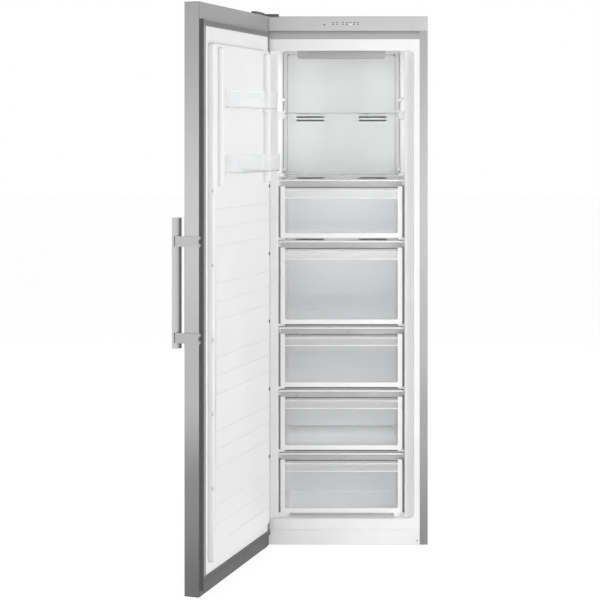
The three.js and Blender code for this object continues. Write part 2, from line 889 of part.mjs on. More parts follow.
function evaporatorCoil() {
  const half = coverHalf - coilInset;
  const low = stepTop + coilRise;
  const front = coverFront + coverWall + coilSetback;
  const middle = front + coilDepth / 2;
  const passes = [];
  for (let pass = 0; pass < coilPasses; pass += 1) {
    const z = low + coilPitch * (pass + 0.5);
    passes.push(rod('x', [middle, z], coilTube, -half - coilTube, half + coilTube, 6));
  }
  const fins = [];
  for (let fin = 0; fin < coilFins; fin += 1) {
    const x = -half + (2 * half * fin) / (coilFins - 1);
    fins.push(block(
      x - coilFin / 2, x + coilFin / 2, front, front + coilDepth, low, low + coilPitch * coilPasses,
    ));
  }
  const bends = [];
  for (let pass = 0; pass + 1 < coilPasses; pass += 1) {
    const side = pass % 2 === 0 ? 1 : -1;
    const z = low + coilPitch * (pass + 1);
    const path = new THREE.CatmullRomCurve3([-1, -0.7, 0, 0.7, 1].map((share) => {
      const reach = Math.sqrt(1 - share * share) * coilPitch * 0.5;
      return vec(side * (half + coilTube / 2 + reach), middle, z + share * coilPitch * 0.5);
    }));
    bends.push(tubeAlong(path, coilTube, 6, 6));
  }
  const foot = block(
    -half - coilFin / 2, -half + 2 * coilFin, front + coilDepth - 2, coverBack, low + coilTube,
    low + coilPitch / 2,
  );
  return union(...fins, ...passes, ...bends, foot, mirrored(foot));
}

function tubeAlong(path, radius, steps, sides) {
  const section = new THREE.Shape();
  for (let i = 0; i < sides; i += 1) {
    const angle = (2 * Math.PI * i) / sides;
    const [x, y] = [radius * Math.cos(angle), radius * Math.sin(angle)];
    if (i === 0) section.moveTo(x, y);
    else section.lineTo(x, y);
  }
  return solid(new THREE.ExtrudeGeometry(section, { steps, extrudePath: path, bevelEnabled: false }));
}

function fanMotor() {
  const boss = hubRadius / 2;
  const can = rod('y', [0, fanHeight], motorRadius, coverBack - motorLength, coverBack, 20);
  const nose = rod('y', [0, fanHeight], boss, coverBack - motorLength - 4, coverBack - motorLength + 1, 12);
  const shaft = rod(
    'y', [0, fanHeight], shaftRadius, coverBack - fanSetback + 3, coverBack - motorLength - 3, 12,
  );
  return union(can, nose, shaft);
}

// Seven pitched blades on a hub, turning about Y.
function fanBlade() {
  const front = coverBack - fanSetback;
  const middle = front + hubDepth / 2;
  const hub = rod('y', [0, 0], hubRadius, front, front + hubDepth, 16);
  const nose = rod('y', [0, 0], hubRadius - 4, front - 2, front + 1, 16);
  const stations = [0, 1, 2, 3];
  const blades = [];
  for (let blade = 0; blade < bladeCount; blade += 1) {
    const rings = stations.map((station) => {
      const share = station / (stations.length - 1);
      const radius = hubRadius - 2 + share * (fanRadius - hubRadius + 2);
      const chord = 12 + 12 * share;
      const pitch = THREE.MathUtils.degToRad(48 - 20 * share);
      const along = vec(Math.cos(pitch), Math.sin(pitch), 0).multiplyScalar(chord / 2);
      const thick = vec(-Math.sin(pitch), Math.cos(pitch), 0).multiplyScalar(bladeThickness / 2);
      const corners = [
        along.clone().negate().sub(thick), along.clone().sub(thick),
        along.clone().add(thick), along.clone().negate().add(thick),
      ];
      return corners.map((corner) => vec(corner.x, corner.y + middle, radius));
    });
    const turn = new THREE.Matrix4().makeRotationY((2 * Math.PI * blade) / bladeCount);
    blades.push(loft(rings.map((points) => points.map((point) => point.applyMatrix4(turn)))));
  }
  const bore = rod('y', [0, 0], shaftRadius + pinPlay, front + 2, front + hubDepth + 1, 12);
  return cut(union(hub, nose, ...blades), bore);
}

// ---- Machine compartment --------------------------------------------------------------------------

function compressor() {
  const r = compressorRadius;
  const h = compressorHeight;
  const plateHalf = compressorPlateLength / 2;
  const plateDepth = r - 2;
  const flange = 4;
  const shell = turned([
    [0, 3], [r * 0.7, 4], [r * 0.94, h * 0.1], [r, h * 0.2], [r, h * 0.55], [r + flange, h * 0.55],
    [r + flange, h * 0.58], [r, h * 0.58], [r, h * 0.8], [r * 0.84, h * 0.93], [r * 0.5, h * 0.99], [0, h],
  ], 18).scale([compressorStretch, 1, 1]);
  const plate = prism(rectangle(-plateHalf, plateHalf, -plateDepth, plateDepth, 10), 'z', 0, compressorPlate);
  const wall = r * compressorStretch;
  const box = block(
    wall - 8, wall + terminalReach, -terminalWidth / 2, terminalWidth / 2, h * 0.3, h * 0.3 + terminalHeight,
  );
  const stub = (x, z) => rod('y', [x, z], stubRadius, -r - stubReach, -r + 12, 8);
  const grommet = turned([
    [0, -grommetHeight], [grommetRadius, -grommetHeight], [grommetRadius, -grommetHeight * 0.65],
    [grommetRadius * 0.7, -grommetHeight * 0.5], [grommetRadius, -grommetHeight * 0.35],
    [grommetRadius, 1], [0, 1],
  ], 6);
  const grommets = [-1, 1].flatMap((sideX) => [-1, 1].map((sideY) => (
    grommet.translate([sideX * (plateHalf - grommetRadius - 2), sideY * (plateDepth - grommetRadius - 1), 0])
  )));
  return union(shell, plate, box, stub(hotStubX, hotStubZ), stub(coldStubX, coldStubZ), ...grommets)
    .translate([compressorX, compressorY, compressorFoot]);
}

function dripTray() {
  const half = compressorRadius - trayMargin;
  const shape = tray({
    x0: -trayLength / 2, x1: trayLength / 2, y0: -half, y1: half, height: trayHeight, wall: trayWall,
    corner: 14, base: 4, draft: 3, rim: 3, rimHeight: trayWall,
  });
  return shape.translate([compressorX, compressorY, trayFloor]);
}

// A copper line from a stub on the compressor's side up to the ceiling of the compartment.
function copperLine(stubX, stubZ, endX) {
  const start = compressorY - compressorRadius - stubReach - seat;
  const near = start - tubeDrop;
  const foot = compressorFoot + stubZ;
  const ceiling = nicheHeight - seat;
  const from = compressorX + stubX;
  const to = compressorX + endX;
  const path = new THREE.CatmullRomCurve3([
    vec(from, start, foot), vec(from, start - tubeDrop * 0.4, foot),
    vec((from + to) / 2, near, foot + 2 * tubeDrop), vec(to, near, (foot + ceiling) / 2),
    vec(to, near, ceiling - 4 * tubeRadius), vec(to, near, ceiling),
  ]);
  return { line: tubeAlong(path, tubeRadius, 16, 6), near, to };
}

function dischargeTube() {
  const { line, near, to } = copperLine(hotStubX, hotStubZ, hotEndX);
  const top = nicheHeight - drierDrop;
  return union(line, rod('z', [to, near], drierRadius, top - drierLength, top, 8));
}

function suctionTube() {
  return copperLine(coldStubX, coldStubZ, coldEndX).line;
}

function mainsInlet() {
  const back = carrierRear - railSheet - seat;
  const base = railSheet + seat;
  const left = inletInset - halfInside;
  const right = left + inletWidth;
  const middle = (left + right) / 2;
  const height = base + inletHeight / 2 + 4;
  const body = block(left, right, back - inletDepth, back, base, base + inletHeight);
  const socket = block(
    middle - socketWidth / 2, middle + socketWidth / 2, back - socketDepth, back + 1,
    height - socketHeight / 2, height + socketHeight / 2,
  );
  const pins = [-7, 0, 7].map((x) => block(
    middle + x - 1.5, middle + x + 1.5, back - socketDepth - 1, back - socketDepth + socketPin,
    height - 3, height + 3,
  ));
  return union(cut(body, socket), ...pins);
}

// ---- Hinges, feet and rollers -------------------------------------------------------------------

function topHinge() {
  const low = cabinetHeight + seat;
  const left = -halfWidth + topHingeInset;
  const right = left + topHingeWidth;
  const ear = hingeReach * 0.9;
  const plan = outline([
    [hingeX - hingeReach, -hingeForward - hingeReach, ear],
    [hingeX + hingeReach, -hingeForward - hingeReach, ear], [hingeX + hingeReach, 2, 4], [right, 8, 6],
    [right, topHingeDepth, 6], [left, topHingeDepth, 6], [left, 0, 4],
  ]);
  const plate = prism(plan, 'z', low, low + hingePlate);
  const pin = rod('z', [hingeX, -hingeForward], pinRadius, doorTop - bushLength, low + 1);
  const screws = [left + 12, right - 12].flatMap((x) => [22, topHingeDepth - 14].map((y) => (
    rod('z', [x, y], hingeScrew, low + hingePlate - 1, low + hingePlate + hingeScrewHead, 8)
  )));
  return union(plate, pin, ...screws);
}

function topHingeCover() {
  const low = cabinetHeight + 2 * seat;
  const left = -halfWidth + 0.5;
  const right = -halfWidth + topHingeInset + topHingeWidth + hingeCoverMargin;
  const ear = hingeReach + 1;
  const rear = topHingeDepth + hingeCoverMargin;
  const front = -hingeForward - ear;
  const plan = (inset, rounding) => outline([
    [left + inset, front + inset, rounding], [hingeX + ear - inset, front + inset, rounding],
    [hingeX + ear - inset, inset - hingeCoverFront], [right - inset, inset - hingeCoverFront, 5],
    [right - inset, rear - inset, 6], [left + inset, rear - inset, 6],
  ]);
  const outer = prism(plan(0, ear * 0.9), 'z', low, low + hingeCoverHeight);
  const lid = low + hingeCoverHeight - hingeCoverWall;
  const inner = prism(plan(hingeCoverWall / 2, ear * 0.8), 'z', low - 1, lid);
  return cut(outer, inner);
}

function lowerHinge() {
  const left = -halfWidth + lowerHingeInset;
  const right = left + lowerHingeWidth;
  const ear = hingeReach * 0.9;
  const rear = lowerHingeDepth;
  const plan = outline([
    [hingeX - hingeReach, -hingeForward - hingeReach, ear],
    [hingeX + hingeReach, -hingeForward - hingeReach, ear], [right, 0, 4], [right, rear, 5],
    [left, rear, 5], [left, 0, 4],
  ]);
  const plate = prism(plan, 'z', -lowerHingePlate - seat, -seat);
  const pin = rod('z', [hingeX, -hingeForward], pinRadius, -1, bushLength);
  const under = -lowerHingePlate - seat;
  const screws = [rear / 3, rear * 0.76].map((y) => (
    rod('z', [hingeX, y], hingeScrew, under - hingeScrewHead, under + 1, 8)
  ));
  return union(plate, pin, ...screws);
}

function frontFoot(x) {
  const shape = turned([
    [0, -standHeight], [footPad - 2, -standHeight], [footPad, 2 - standHeight],
    [footPad, footPadHeight - standHeight - 1], [footNeck, footPadHeight - standHeight], [footNeck, -1],
    [footStem, -1], [footStem, footStemTop], [0, footStemTop],
  ], 12);
  return shape.translate([x, footY, 0]);
}

// A folded hanger with its axle through both cheeks.
function rollerBracket() {
  const inner = rollerWidth / 2 + 1;
  const outer = inner + bracketSheet;
  const base = railSheet + seat;
  const foot = base + bracketSheet;
  const cheek = axleHeight - 2 * axleRadius;
  const top = axleHeight + rollerRadius + axleRadius;
  const roof = top + bracketSheet;
  const profile = outline([
    [-bracketFoot, base], [-outer, base], [-outer, cheek], [-inner, cheek], [-inner, top], [inner, top],
    [inner, cheek], [outer, cheek], [outer, base], [bracketFoot, base], [bracketFoot, foot],
    [outer, foot], [outer, roof], [-outer, roof], [-outer, foot], [-bracketFoot, foot],
  ]);
  const body = prism(profile, 'y', rollerY - bracketDepth / 2, rollerY + bracketDepth / 2);
  const axle = rod('x', [rollerY, axleHeight], axleRadius, -outer - 2, outer + 2, 14);
  return union(body, axle).translate([rollerX, 0, 0]);
}

function rearRoller() {
  const half = rollerWidth / 2;
  const rim = half - 3;
  const tread = half - 5;
  const wheel = turned([
    [0, -half], [rollerHub, -half], [rollerHub, -rim], [rollerRadius - 2, -rim], [rollerRadius, -tread],
    [rollerRadius, tread], [rollerRadius - 2, rim], [rollerHub, rim], [rollerHub, half], [0, half],
  ], 14);
  return cut(wheel, rod('z', [0, 0], axleRadius + pinPlay, -half - 1, half + 1, 14)).rotate([0, 90, 0]);
}

// ---- Door ---------------------------------------------------------------------------------------

function doorSkin() {
  const [l, r, f, b] = [doorLeft, doorRight, doorFront, doorBack];
  const e = doorEdgeRadius;
  const profile = outline([
    [l, b], [l, f, e], [r, f, e], [r, b, 2], [r - lipWidth, b], [r - lipWidth, b - sheet],
    [r - sheet, b - sheet], [r - sheet, f + sheet, e - sheet], [l + sheet, f + sheet, e - sheet],
    [l + sheet, b - sheet], [l + lipWidth, b - sheet], [l + lipWidth, b],
  ]);
  const pan = prism(profile, 'z', skinBottom, skinTop);
  const inside = (z0, z1) => block(l + sheet, r - sheet, b - 3, b + 1, z0, z1);
  return cut(
    pan,
    inside(skinBottom - 1, doorBottom + bottomCapHeight),
    inside(doorTop - topCapHeight, skinTop + 1),
  );
}

// A moulded end cap: the block inside the skin and the thin plate over its edge.
function endCap(from, to, plateFrom, plateTo) {
  const gap = sheet + seat;
  const core = prism(
    rectangle(doorLeft + gap, doorRight - gap, doorFront + gap, doorBack, doorEdgeRadius - sheet),
    'z', Math.min(from, to), Math.max(from, to),
  );
  const plate = prism(
    rectangle(doorLeft, doorRight, doorFront, doorBack, doorEdgeRadius - 1), 'z', plateFrom, plateTo,
  );
  return union(core, plate);
}

function topCap() {
  const cap = endCap(doorTop - topCapHeight + seat, doorTop - 1, doorTop - capPlate, doorTop);
  return cut(cap, rod('z', [0, 0], bushRadius + seat, doorTop - bushLength - 1, doorTop + 1));
}

function bottomCap() {
  const cap = endCap(doorBottom + 1, doorBottom + bottomCapHeight - seat, doorBottom, doorBottom + capPlate);
  return cut(cap, rod('z', [0, 0], bushRadius + seat, doorBottom - 1, bushLength + 1));
}

function doorFoam() {
  const gap = sheet + seat;
  const low = doorBottom + bottomCapHeight + seat;
  const high = doorTop - topCapHeight - seat;
  const plan = rectangle(
    doorLeft + gap, doorRight - gap, doorFront + gap, doorBack - gap, doorEdgeRadius - sheet,
  );
  const bulk = prism(plan, 'z', low, high);
  const wall = linerWall + seat;
  const behindFlange = block(
    linerLeft + wall, linerRight - wall, doorBack - gap - 1, linerFace - wall, linerBottom + wall,
    linerTop - wall,
  );
  const inset = plateauSideWall + plateauRound;
  const behindPlateau = block(
    plateauLeft + inset, plateauRight - inset, doorBack - gap - 1, plateauFace - linerWall - 1,
    plateauBottom + inset, plateauTop - inset,
  );
  const lips = block(
    doorLeft + gap + lipWidth, doorRight - gap - lipWidth, doorBack - gap - 1, doorBack, low, high,
  );
  return union(bulk, lips, behindFlange, behindPlateau);
}

function plateauShell(inset, face, back) {
  const at = (y, extra, round) => ring(
    plateauLeft + inset + extra, plateauRight - inset - extra,
    plateauBottom + inset + extra, plateauTop - inset - extra, round, (x, z) => vec(x, y, z),
  );
  const fall = plateauRound;
  return loft([
    at(face, fall, plateauCorner - fall / 2), at(face - fall * 0.25, fall * 0.4, plateauCorner - fall / 6),
    at(face - fall * 0.85, fall * 0.15, plateauCorner), at(back, 0, plateauCorner),
  ]);
}

function linerRim(inner, outer) {
  const low = plateauFace - 0.5;
  const plan = outline([
    [inner, low], [inner, rimFace, rimEdge], [outer, rimFace, rimEdge], [outer, low],
  ]);
  return prism(plan, 'z', rimBottom, rimTop);
}

function embossedLine(height) {
  const profile = outline([
    [plateauFace + 1, height - lineWidth / 2 - 1], [plateauFace + 1, height + lineWidth / 2 + 1],
    [plateauFace - lineDepth, height],
  ]);
  return prism(profile, 'x', plateauLeft + lineInset, plateauRight - lineInset);
}

function doorLiner() {
  const flange = block(linerLeft, linerRight, linerBack, linerFace, linerBottom, linerTop);
  const flangeHollow = block(
    linerLeft + linerWall, linerRight - linerWall, linerBack - 1, linerFace - linerWall,
    linerBottom + linerWall, linerTop - linerWall,
  );
  const plateau = plateauShell(0, plateauFace, linerBack + 3);
  const plateauHollow = plateauShell(plateauSideWall - 2, plateauFace - linerWall, linerBack - 1);
  const rims = union(linerRim(rimInnerRight, rimOuterRight), linerRim(rimOuterLeft, rimInnerLeft));
  const lug = (from, to, top) => (
    block(from, to, plateauFace - 1, rimFace - lugSetback, top - lugHeight, top)
  );
  const lugs = rackHeights.flatMap((height) => [
    lug(rimInnerLeft - 1, rimInnerLeft + lugLength, height - seat),
    lug(rimInnerRight - lugLength, rimInnerRight + 1, height - seat),
  ]);
  const cuts = [];
  for (let panel = 0; panel < notchCount; panel += 1) {
    const top = notchTop - panel * notchPitch;
    [plateauLeft, plateauRight].forEach((edge) => {
      cuts.push(block(edge - notchDepth, edge + notchDepth, plateauFace - notchDepth - 4, plateauFace + 1,
        top - notchHeight / 2, top + notchHeight / 2));
    });
    for (let line = 1; line <= linesPerPanel; line += 1) {
      cuts.push(embossedLine(top - (line * notchPitch) / (linesPerPanel + 1)));
    }
  }
  const shell = cut(union(flange, plateau), union(flangeHollow, plateauHollow));
  return cut(union(shell, rims, ...lugs), ...cuts);
}

// The seal's section, swept round the door with mitred corners.
function doorGasket() {
  const base = doorBack + seat;
  const face = hingeForward - seat;
  const waist = (base + face) / 2;
  const wide = gasketWidth;
  const foot = base + gasketFoot;
  const below = waist - gasketFold;
  const above = waist + gasketFold;
  const section = [
    [1, base], [wide - 1, base], [wide - 1, foot], [wide - 3.5, below], [wide - 1.5, waist],
    [wide, above], [wide, face], [wide / 2, face], [0, face - gasketRound], [0, above], [2, waist],
    [3.5, below], [1, foot],
  ];
  const corners = [[1, 1], [-1, 1], [-1, -1], [1, -1]];
  const positions = [];
  corners.forEach(([sideX, sideZ]) => {
    section.forEach(([inward, y]) => {
      const x = sideX > 0 ? gasketRight - inward : gasketLeft + inward;
      const z = sideZ > 0 ? gasketTop - inward : gasketBottom + inward;
      positions.push(x, y, z);
    });
  });
  const count = section.length;
  const faces = [];
  for (let corner = 0; corner < 4; corner += 1) {
    for (let i = 0; i < count; i += 1) {
      const a = corner * count + i;
      const b = corner * count + ((i + 1) % count);
      const c = ((corner + 1) % 4) * count + ((i + 1) % count);
      const d = ((corner + 1) % 4) * count + i;
      faces.push(a, c, b, a, d, c);
    }
  }
  const geometry = new THREE.BufferGeometry();
  geometry.setAttribute('position', new THREE.Float32BufferAttribute(positions, 3));
  geometry.setIndex(faces);
  return solid(geometry);
}

function doorRack(index) {
  const shape = tray({
    x0: rimInnerLeft + seat, x1: rimInnerRight - seat, y0: plateauFace + seat,
    y1: rimFace + rackDepths[index] - rimRise, height: rackHeight, wall: rackWall, corner: rackCorner,
    base: rackBase, draft: rackDraft, rim: 0, rimHeight: 0,
  });
  return shape.translate([0, 0, rackHeights[index]]);
}

// The dark moulding on the door's top edge beside the hinge.
function doorHingeCap() {
  const low = doorTop + seat;
  const high = low + hingeCapHeight;
  const end = hingeCapStart + hingeCapLength;
  const body = prism(rectangle(hingeCapStart, end, doorBack - hingeCapDepth, doorBack, 3), 'z', low, high);
  const side = outline([
    [hingeCapStart, low], [hingeCapStart, high, 2], [end, high, 5], [end, low],
  ]);
  return body.intersect(prism(side, 'y', doorBack - hingeCapDepth - 1, doorBack + 1));
}

function hingeBush(bottom, top, flangeLow, flangeHigh) {
  const tube = rod('z', [0, 0], bushRadius, bottom, top);
  const flange = rod('z', [0, 0], bushFlange, flangeLow, flangeHigh);
  const bore = rod('z', [0, 0], pinRadius + pinPlay, bottom - 5, top + 5);
  return cut(union(tube, flange), bore);
}

function handleBar() {
  const right = doorRight;
  const left = right - handleWidth;
  const flatBack = barFront + handleFlat;
  const edge = handleEdge;
  const points = [new THREE.Vector2(right, barFront + edge), new THREE.Vector2(right, flatBack)];
  const arc = 8;
  for (let step = 1; step < arc; step += 1) {
    const angle = (Math.PI * step) / arc;
    points.push(new THREE.Vector2(
      (left + right) / 2 + (handleWidth / 2) * Math.cos(angle),
      flatBack + (barBack - flatBack) * Math.sin(angle),
    ));
  }
  points.push(new THREE.Vector2(left, flatBack), new THREE.Vector2(left, barFront + edge));
  points.push(new THREE.Vector2(left + edge, barFront), new THREE.Vector2(right - edge, barFront));
  return prism(new THREE.Shape(points), 'z', handleBottom, handleTop);
}

function bracketMiddle(side) {
  const half = bracketHeight / 2;
  return side > 0 ? handleTop - upperBracketInset - half : handleBottom + lowerBracketInset + half;
}

function handleBracket(side) {
  const inside = doorRight + seat;
  const outside = inside + bracketPlate;
  const lipBack = doorBack + seat;
  const middle = bracketMiddle(side);
  const plan = outline([
    [inside, barFront + bracketSetback], [outside, barFront + bracketSetback, bracketPlate - 0.5],
    [outside, lipBack + bracketLip, 1.5], [inside - bracketLipWidth, lipBack + bracketLip],
    [inside - bracketLipWidth, lipBack], [inside, lipBack],
  ]);
  const body = prism(plan, 'z', middle - bracketHeight / 2, middle + bracketHeight / 2);
  const notch = block(
    doorRight - 20, outside + 1, doorBack - 1, lipBack + bracketLip + 1,
    middle - bracketNotch / 2, middle + bracketNotch / 2,
  );
  return cut(body, notch);
}

// ---- Drawers ------------------------------------------------------------------------------------

// The pane's outline: straight sides and a top edge that dips in the middle for the fingers.
function paneOutline(height, inset) {
  const half = paneHalf - inset;
  const top = height - lipHeight - gripHeight - inset;
  const dip = paneHalf - gripDipInset;
  const slope = [];
  const steps = 4;
  for (let step = 0; step <= steps; step += 1) {
    const share = step / steps;
    const ease = (1 - Math.cos(Math.PI * share)) / 2;
    slope.push([dip + gripDipSlope * (1 - share), top - gripDip * ease]);
  }
  const left = slope.map(([x, z]) => [-x, z]).reverse();
  const low = paneFoot + inset;
  const round = paneCorner - inset;
  return outline([[-half, low, round], [half, low, round], [half, top], ...slope, ...left, [-half, top]]);
}

function drawerFront(height) {
  const strip = cavityHalf - lipSideGap;
  const shell = cut(
    prism(paneOutline(height, 0), 'y', paneSetback, paneBack),
    prism(paneOutline(height, paneThickness), 'y', paneSetback + paneThickness, paneBack + 1),
  );
  const underLip = height - lipHeight;
  const lip = prism(outline([
    [0, height - 1.5, 1.2], [0, underLip, 1.2], [paneBack, underLip], [paneBack, height], [2, height, 1],
  ]), 'x', -strip, strip);
  const gripBack = block(
    -strip, strip, paneSetback + gripDepth, paneBack, underLip - gripHeight - gripDip - paneThickness,
    height - 1,
  );
  const beads = beadDrops.map((drop) => prism(
    rectangle(beadInset - paneHalf, paneHalf - beadInset, height - drop - beadHeight, height - drop), 'y',
    paneSetback - beadProud, paneSetback + 1,
  ));
  return union(shell, lip, gripBack, ...beads);
}

function drawerBasket(height, length) {
  const half = paneHalf - basketSideGap;
  return tray({
    x0: -half, x1: half, y0: paneBack + seat + basketRimWidth, y1: length - basketRimWidth,
    height: height - lipHeight - basketTopGap, wall: basketWall, corner: basketCorner, base: basketBase,
    draft: basketDraft, rim: basketRimWidth, rimHeight: basketRimHeight,
  });
}

// ---- Assembly -------------------------------------------------------------------------------------

const freezer = new THREE.Group();
const cabinet = new THREE.Group();
const door = new THREE.Group();
freezer.add(cabinet, door);

piece(cabinet, 'side_panel_left', mirrored(sidePanel()), steelPaint());
piece(cabinet, 'side_panel_right', sidePanel(), steelPaint());
piece(cabinet, 'top_panel', topPanel(), steelPaint());
piece(cabinet, 'rear_panel', rearPanel(), steelPaint());
piece(cabinet, 'base_pan', basePan(), zinc());
piece(cabinet, 'compressor_carrier', compressorCarrier(), zinc());
piece(cabinet, 'lower_front_rail', lowerRail(), whiteLiner());
piece(cabinet, 'upper_front_rail', upperRail(), steelPaint());
piece(cabinet, 'control_panel', controlPanel(), greyPlastic());
piece(cabinet, 'inner_liner', innerLiner(), whiteLiner());
piece(cabinet, 'cabinet_foam', cabinetFoam(), foamYellow());
piece(cabinet, 'evaporator_cover', evaporatorCover(), whiteLiner());
piece(cabinet, 'interior_lamp', interiorLamp(), greyPlastic());
piece(cabinet, 'evaporator_coil', evaporatorCoil(), zinc());
piece(cabinet, 'fan_motor', fanMotor(), blackPaint());
piece(cabinet, 'glass_shelf_lower', glassShelf(shelfHeights[0]), glass());
piece(cabinet, 'glass_shelf_upper', glassShelf(shelfHeights[1]), glass());
['lower', 'upper'].forEach((level, index) => {
  piece(cabinet, `shelf_clip_${level}_left`, mirrored(shelfClip(index)), whiteLiner());
  piece(cabinet, `shelf_clip_${level}_right`, shelfClip(index), whiteLiner());
});
piece(cabinet, 'compressor', compressor(), blackPaint());
piece(cabinet, 'drip_tray', dripTray(), darkPlastic());
piece(cabinet, 'discharge_tube', dischargeTube(), copper());
piece(cabinet, 'suction_tube', suctionTube(), copper());
piece(cabinet, 'mains_inlet', mainsInlet(), darkPlastic());
piece(cabinet, 'top_hinge', topHinge(), zinc());
piece(cabinet, 'top_hinge_cover', topHingeCover(), darkPlastic());
piece(cabinet, 'lower_hinge', lowerHinge(), zinc());
piece(cabinet, 'front_foot_left', frontFoot(-footX), darkPlastic());
piece(cabinet, 'front_foot_right', frontFoot(footX), darkPlastic());
piece(cabinet, 'roller_bracket_left', mirrored(rollerBracket()), zinc());
piece(cabinet, 'roller_bracket_right', rollerBracket(), zinc());

const blade = piece(cabinet, 'fan_blade', fanBlade(), darkPlastic());
blade.position.set(0, 0, fanHeight);
const rollerLeft = piece(cabinet, 'rear_roller_left', rearRoller(), darkPlastic());
rollerLeft.position.set(-rollerX, rollerY, axleHeight);
const rollerRight = piece(cabinet, 'rear_roller_right', rearRoller(), darkPlastic());
rollerRight.position.set(rollerX, rollerY, axleHeight);

drawerHeights.forEach((height, index) => {
  const drawer = new THREE.Group();
  const number = drawerHeights.length - index;
  drawer.position.set(0, drawerSetback, drawerBottom(index));
  piece(drawer, `drawer_${number}_front`, drawerFront(height), clearPlastic());
  piece(drawer, `drawer_${number}_basket`, drawerBasket(height, drawerLength(index)), clearPlastic());
  cabinet.add(drawer);
});

door.position.set(hingeX, -hingeForward, 0);
door.rotation.z = -THREE.MathUtils.degToRad(doorOpening);
piece(door, 'door_skin', doorSkin(), brushedSteel());
piece(door, 'door_foam', doorFoam(), foamYellow());
piece(door, 'door_liner', doorLiner(), whiteLiner());
piece(door, 'door_gasket', doorGasket(), gasketGrey());
piece(door, 'door_top_cap', topCap(), greyPlastic());
piece(door, 'door_hinge_cap', doorHingeCap(), darkPlastic());
piece(door, 'door_bottom_cap', bottomCap(), greyPlastic());
piece(door, 'handle_bar', handleBar(), brushedSteel());
piece(door, 'handle_bracket_upper', handleBracket(1), brushedSteel());
piece(door, 'handle_bracket_lower', handleBracket(-1), brushedSteel());
piece(door, 'hinge_bush_upper', hingeBush(
  doorTop - bushLength, doorTop + seat, doorTop + seat, cabinetHeight,
), darkPlastic());
piece(door, 'hinge_bush_lower', hingeBush(
  doorBottom - seat, bushLength, seat, doorBottom - seat,
), darkPlastic());
piece(door, 'door_rack_lower', doorRack(0), clearPlastic());
piece(door, 'door_rack_upper', doorRack(1), clearPlastic());

// The origin is the middle of the footprint, on the floor, with the door standing open.
freezer.updateMatrixWorld(true);
const reach = new THREE.Box3().setFromObject(freezer, true);
freezer.position.set(-(reach.min.x + reach.max.x) / 2, -(reach.min.y + reach.max.y) / 2, -reach.min.z);

export default freezer;
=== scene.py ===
import json
import math

import bmesh
import bpy
from mathutils import Matrix, Vector


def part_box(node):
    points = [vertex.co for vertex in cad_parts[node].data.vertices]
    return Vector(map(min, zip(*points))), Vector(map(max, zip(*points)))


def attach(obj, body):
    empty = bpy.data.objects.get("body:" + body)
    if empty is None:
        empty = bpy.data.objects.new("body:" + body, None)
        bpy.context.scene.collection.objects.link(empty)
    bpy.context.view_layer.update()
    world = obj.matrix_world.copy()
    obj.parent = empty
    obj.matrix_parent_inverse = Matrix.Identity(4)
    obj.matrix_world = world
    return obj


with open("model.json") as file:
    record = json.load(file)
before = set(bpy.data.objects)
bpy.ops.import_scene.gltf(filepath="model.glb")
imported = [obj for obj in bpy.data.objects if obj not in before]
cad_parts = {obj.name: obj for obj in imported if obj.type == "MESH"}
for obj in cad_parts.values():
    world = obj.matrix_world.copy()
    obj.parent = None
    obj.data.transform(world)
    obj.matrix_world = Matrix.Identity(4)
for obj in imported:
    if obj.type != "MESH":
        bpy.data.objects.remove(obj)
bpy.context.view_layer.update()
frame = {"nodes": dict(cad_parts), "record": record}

# ---- Axes ----------------------------------------------------------------------------------

# Lengths are in millimetres in the cabinet's own axes: x from its middle, y from its front plane,
# z from its underside. The door's axes start at its hinge line, with x across the closed door.
MM = 0.001
left_panel, right_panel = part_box("side_panel_left"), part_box("side_panel_right")
CABINET = Vector(((left_panel[0][0] + right_panel[1][0]) / 2, left_panel[0][1], left_panel[0][2]))

joints = {joint["name"]: joint for joint in frame["record"]["behaviour"]["joints"]}
hinge = joints["door_hinge"]
HINGE_FOOT = Vector((hinge["pos_m"][0], hinge["pos_m"][1], CABINET.z))
DOOR_OPENING = math.radians(hinge["range_deg"][0])
DOOR = Matrix.Translation(HINGE_FOOT) @ Matrix.Rotation(DOOR_OPENING, 4, "Z")


def at(x, y, z):
    """The scene's place for a place in the cabinet's axes."""
    return Vector((x, y, z)) * MM + CABINET


def on_door(x, y, z):
    """The scene's place for a place in the door's axes, with the door as photographed."""
    return DOOR @ (Vector((x, y, z)) * MM)


def cabinet_box(node):
    """A node's box in the cabinet's axes."""
    low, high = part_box(node)
    return (Vector(low) - CABINET) / MM, (Vector(high) - CABINET) / MM


# ---- Node trees ----------------------------------------------------------------------------


def grey(level):
    """The linear colour of a grey with a screen level from 0 to 255."""
    c = level / 255.0
    value = c / 12.92 if c <= 0.04045 else ((c + 0.055) / 1.055) ** 2.4
    return (value, value, value, 1.0)


class NodeTree:
    """The node tree of a material or world, emptied first."""

    def __init__(self, owner):
        owner.use_nodes = True
        self.tree = owner.node_tree
        self.tree.nodes.clear()

    def add(self, kind, **values):
        node = self.tree.nodes.new(kind)
        for key, value in values.items():
            setattr(node, key, value)
        return node

    def link(self, start, end):
        self.tree.links.new(start, end)

    def larger(self, first, second):
        node = self.add("ShaderNodeMath", operation="MAXIMUM")
        self.link(first, node.inputs[0])
        self.link(second, node.inputs[1])
        return node.outputs["Value"]

    def mixed(self, share, first, second):
        node = self.add("ShaderNodeMixShader")
        self.link(share, node.inputs["Fac"])
        self.link(first, node.inputs[1])
        self.link(second, node.inputs[2])
        return node.outputs["Shader"]

    def seen_ray(self):
        """1 on rays that show the surface: from the camera, mirrored or through clear walls."""
        rays = self.add("ShaderNodeLightPath").outputs
        direct = self.larger(rays["Is Camera Ray"], rays["Is Glossy Ray"])
        return self.larger(direct, rays["Is Transmission Ray"])


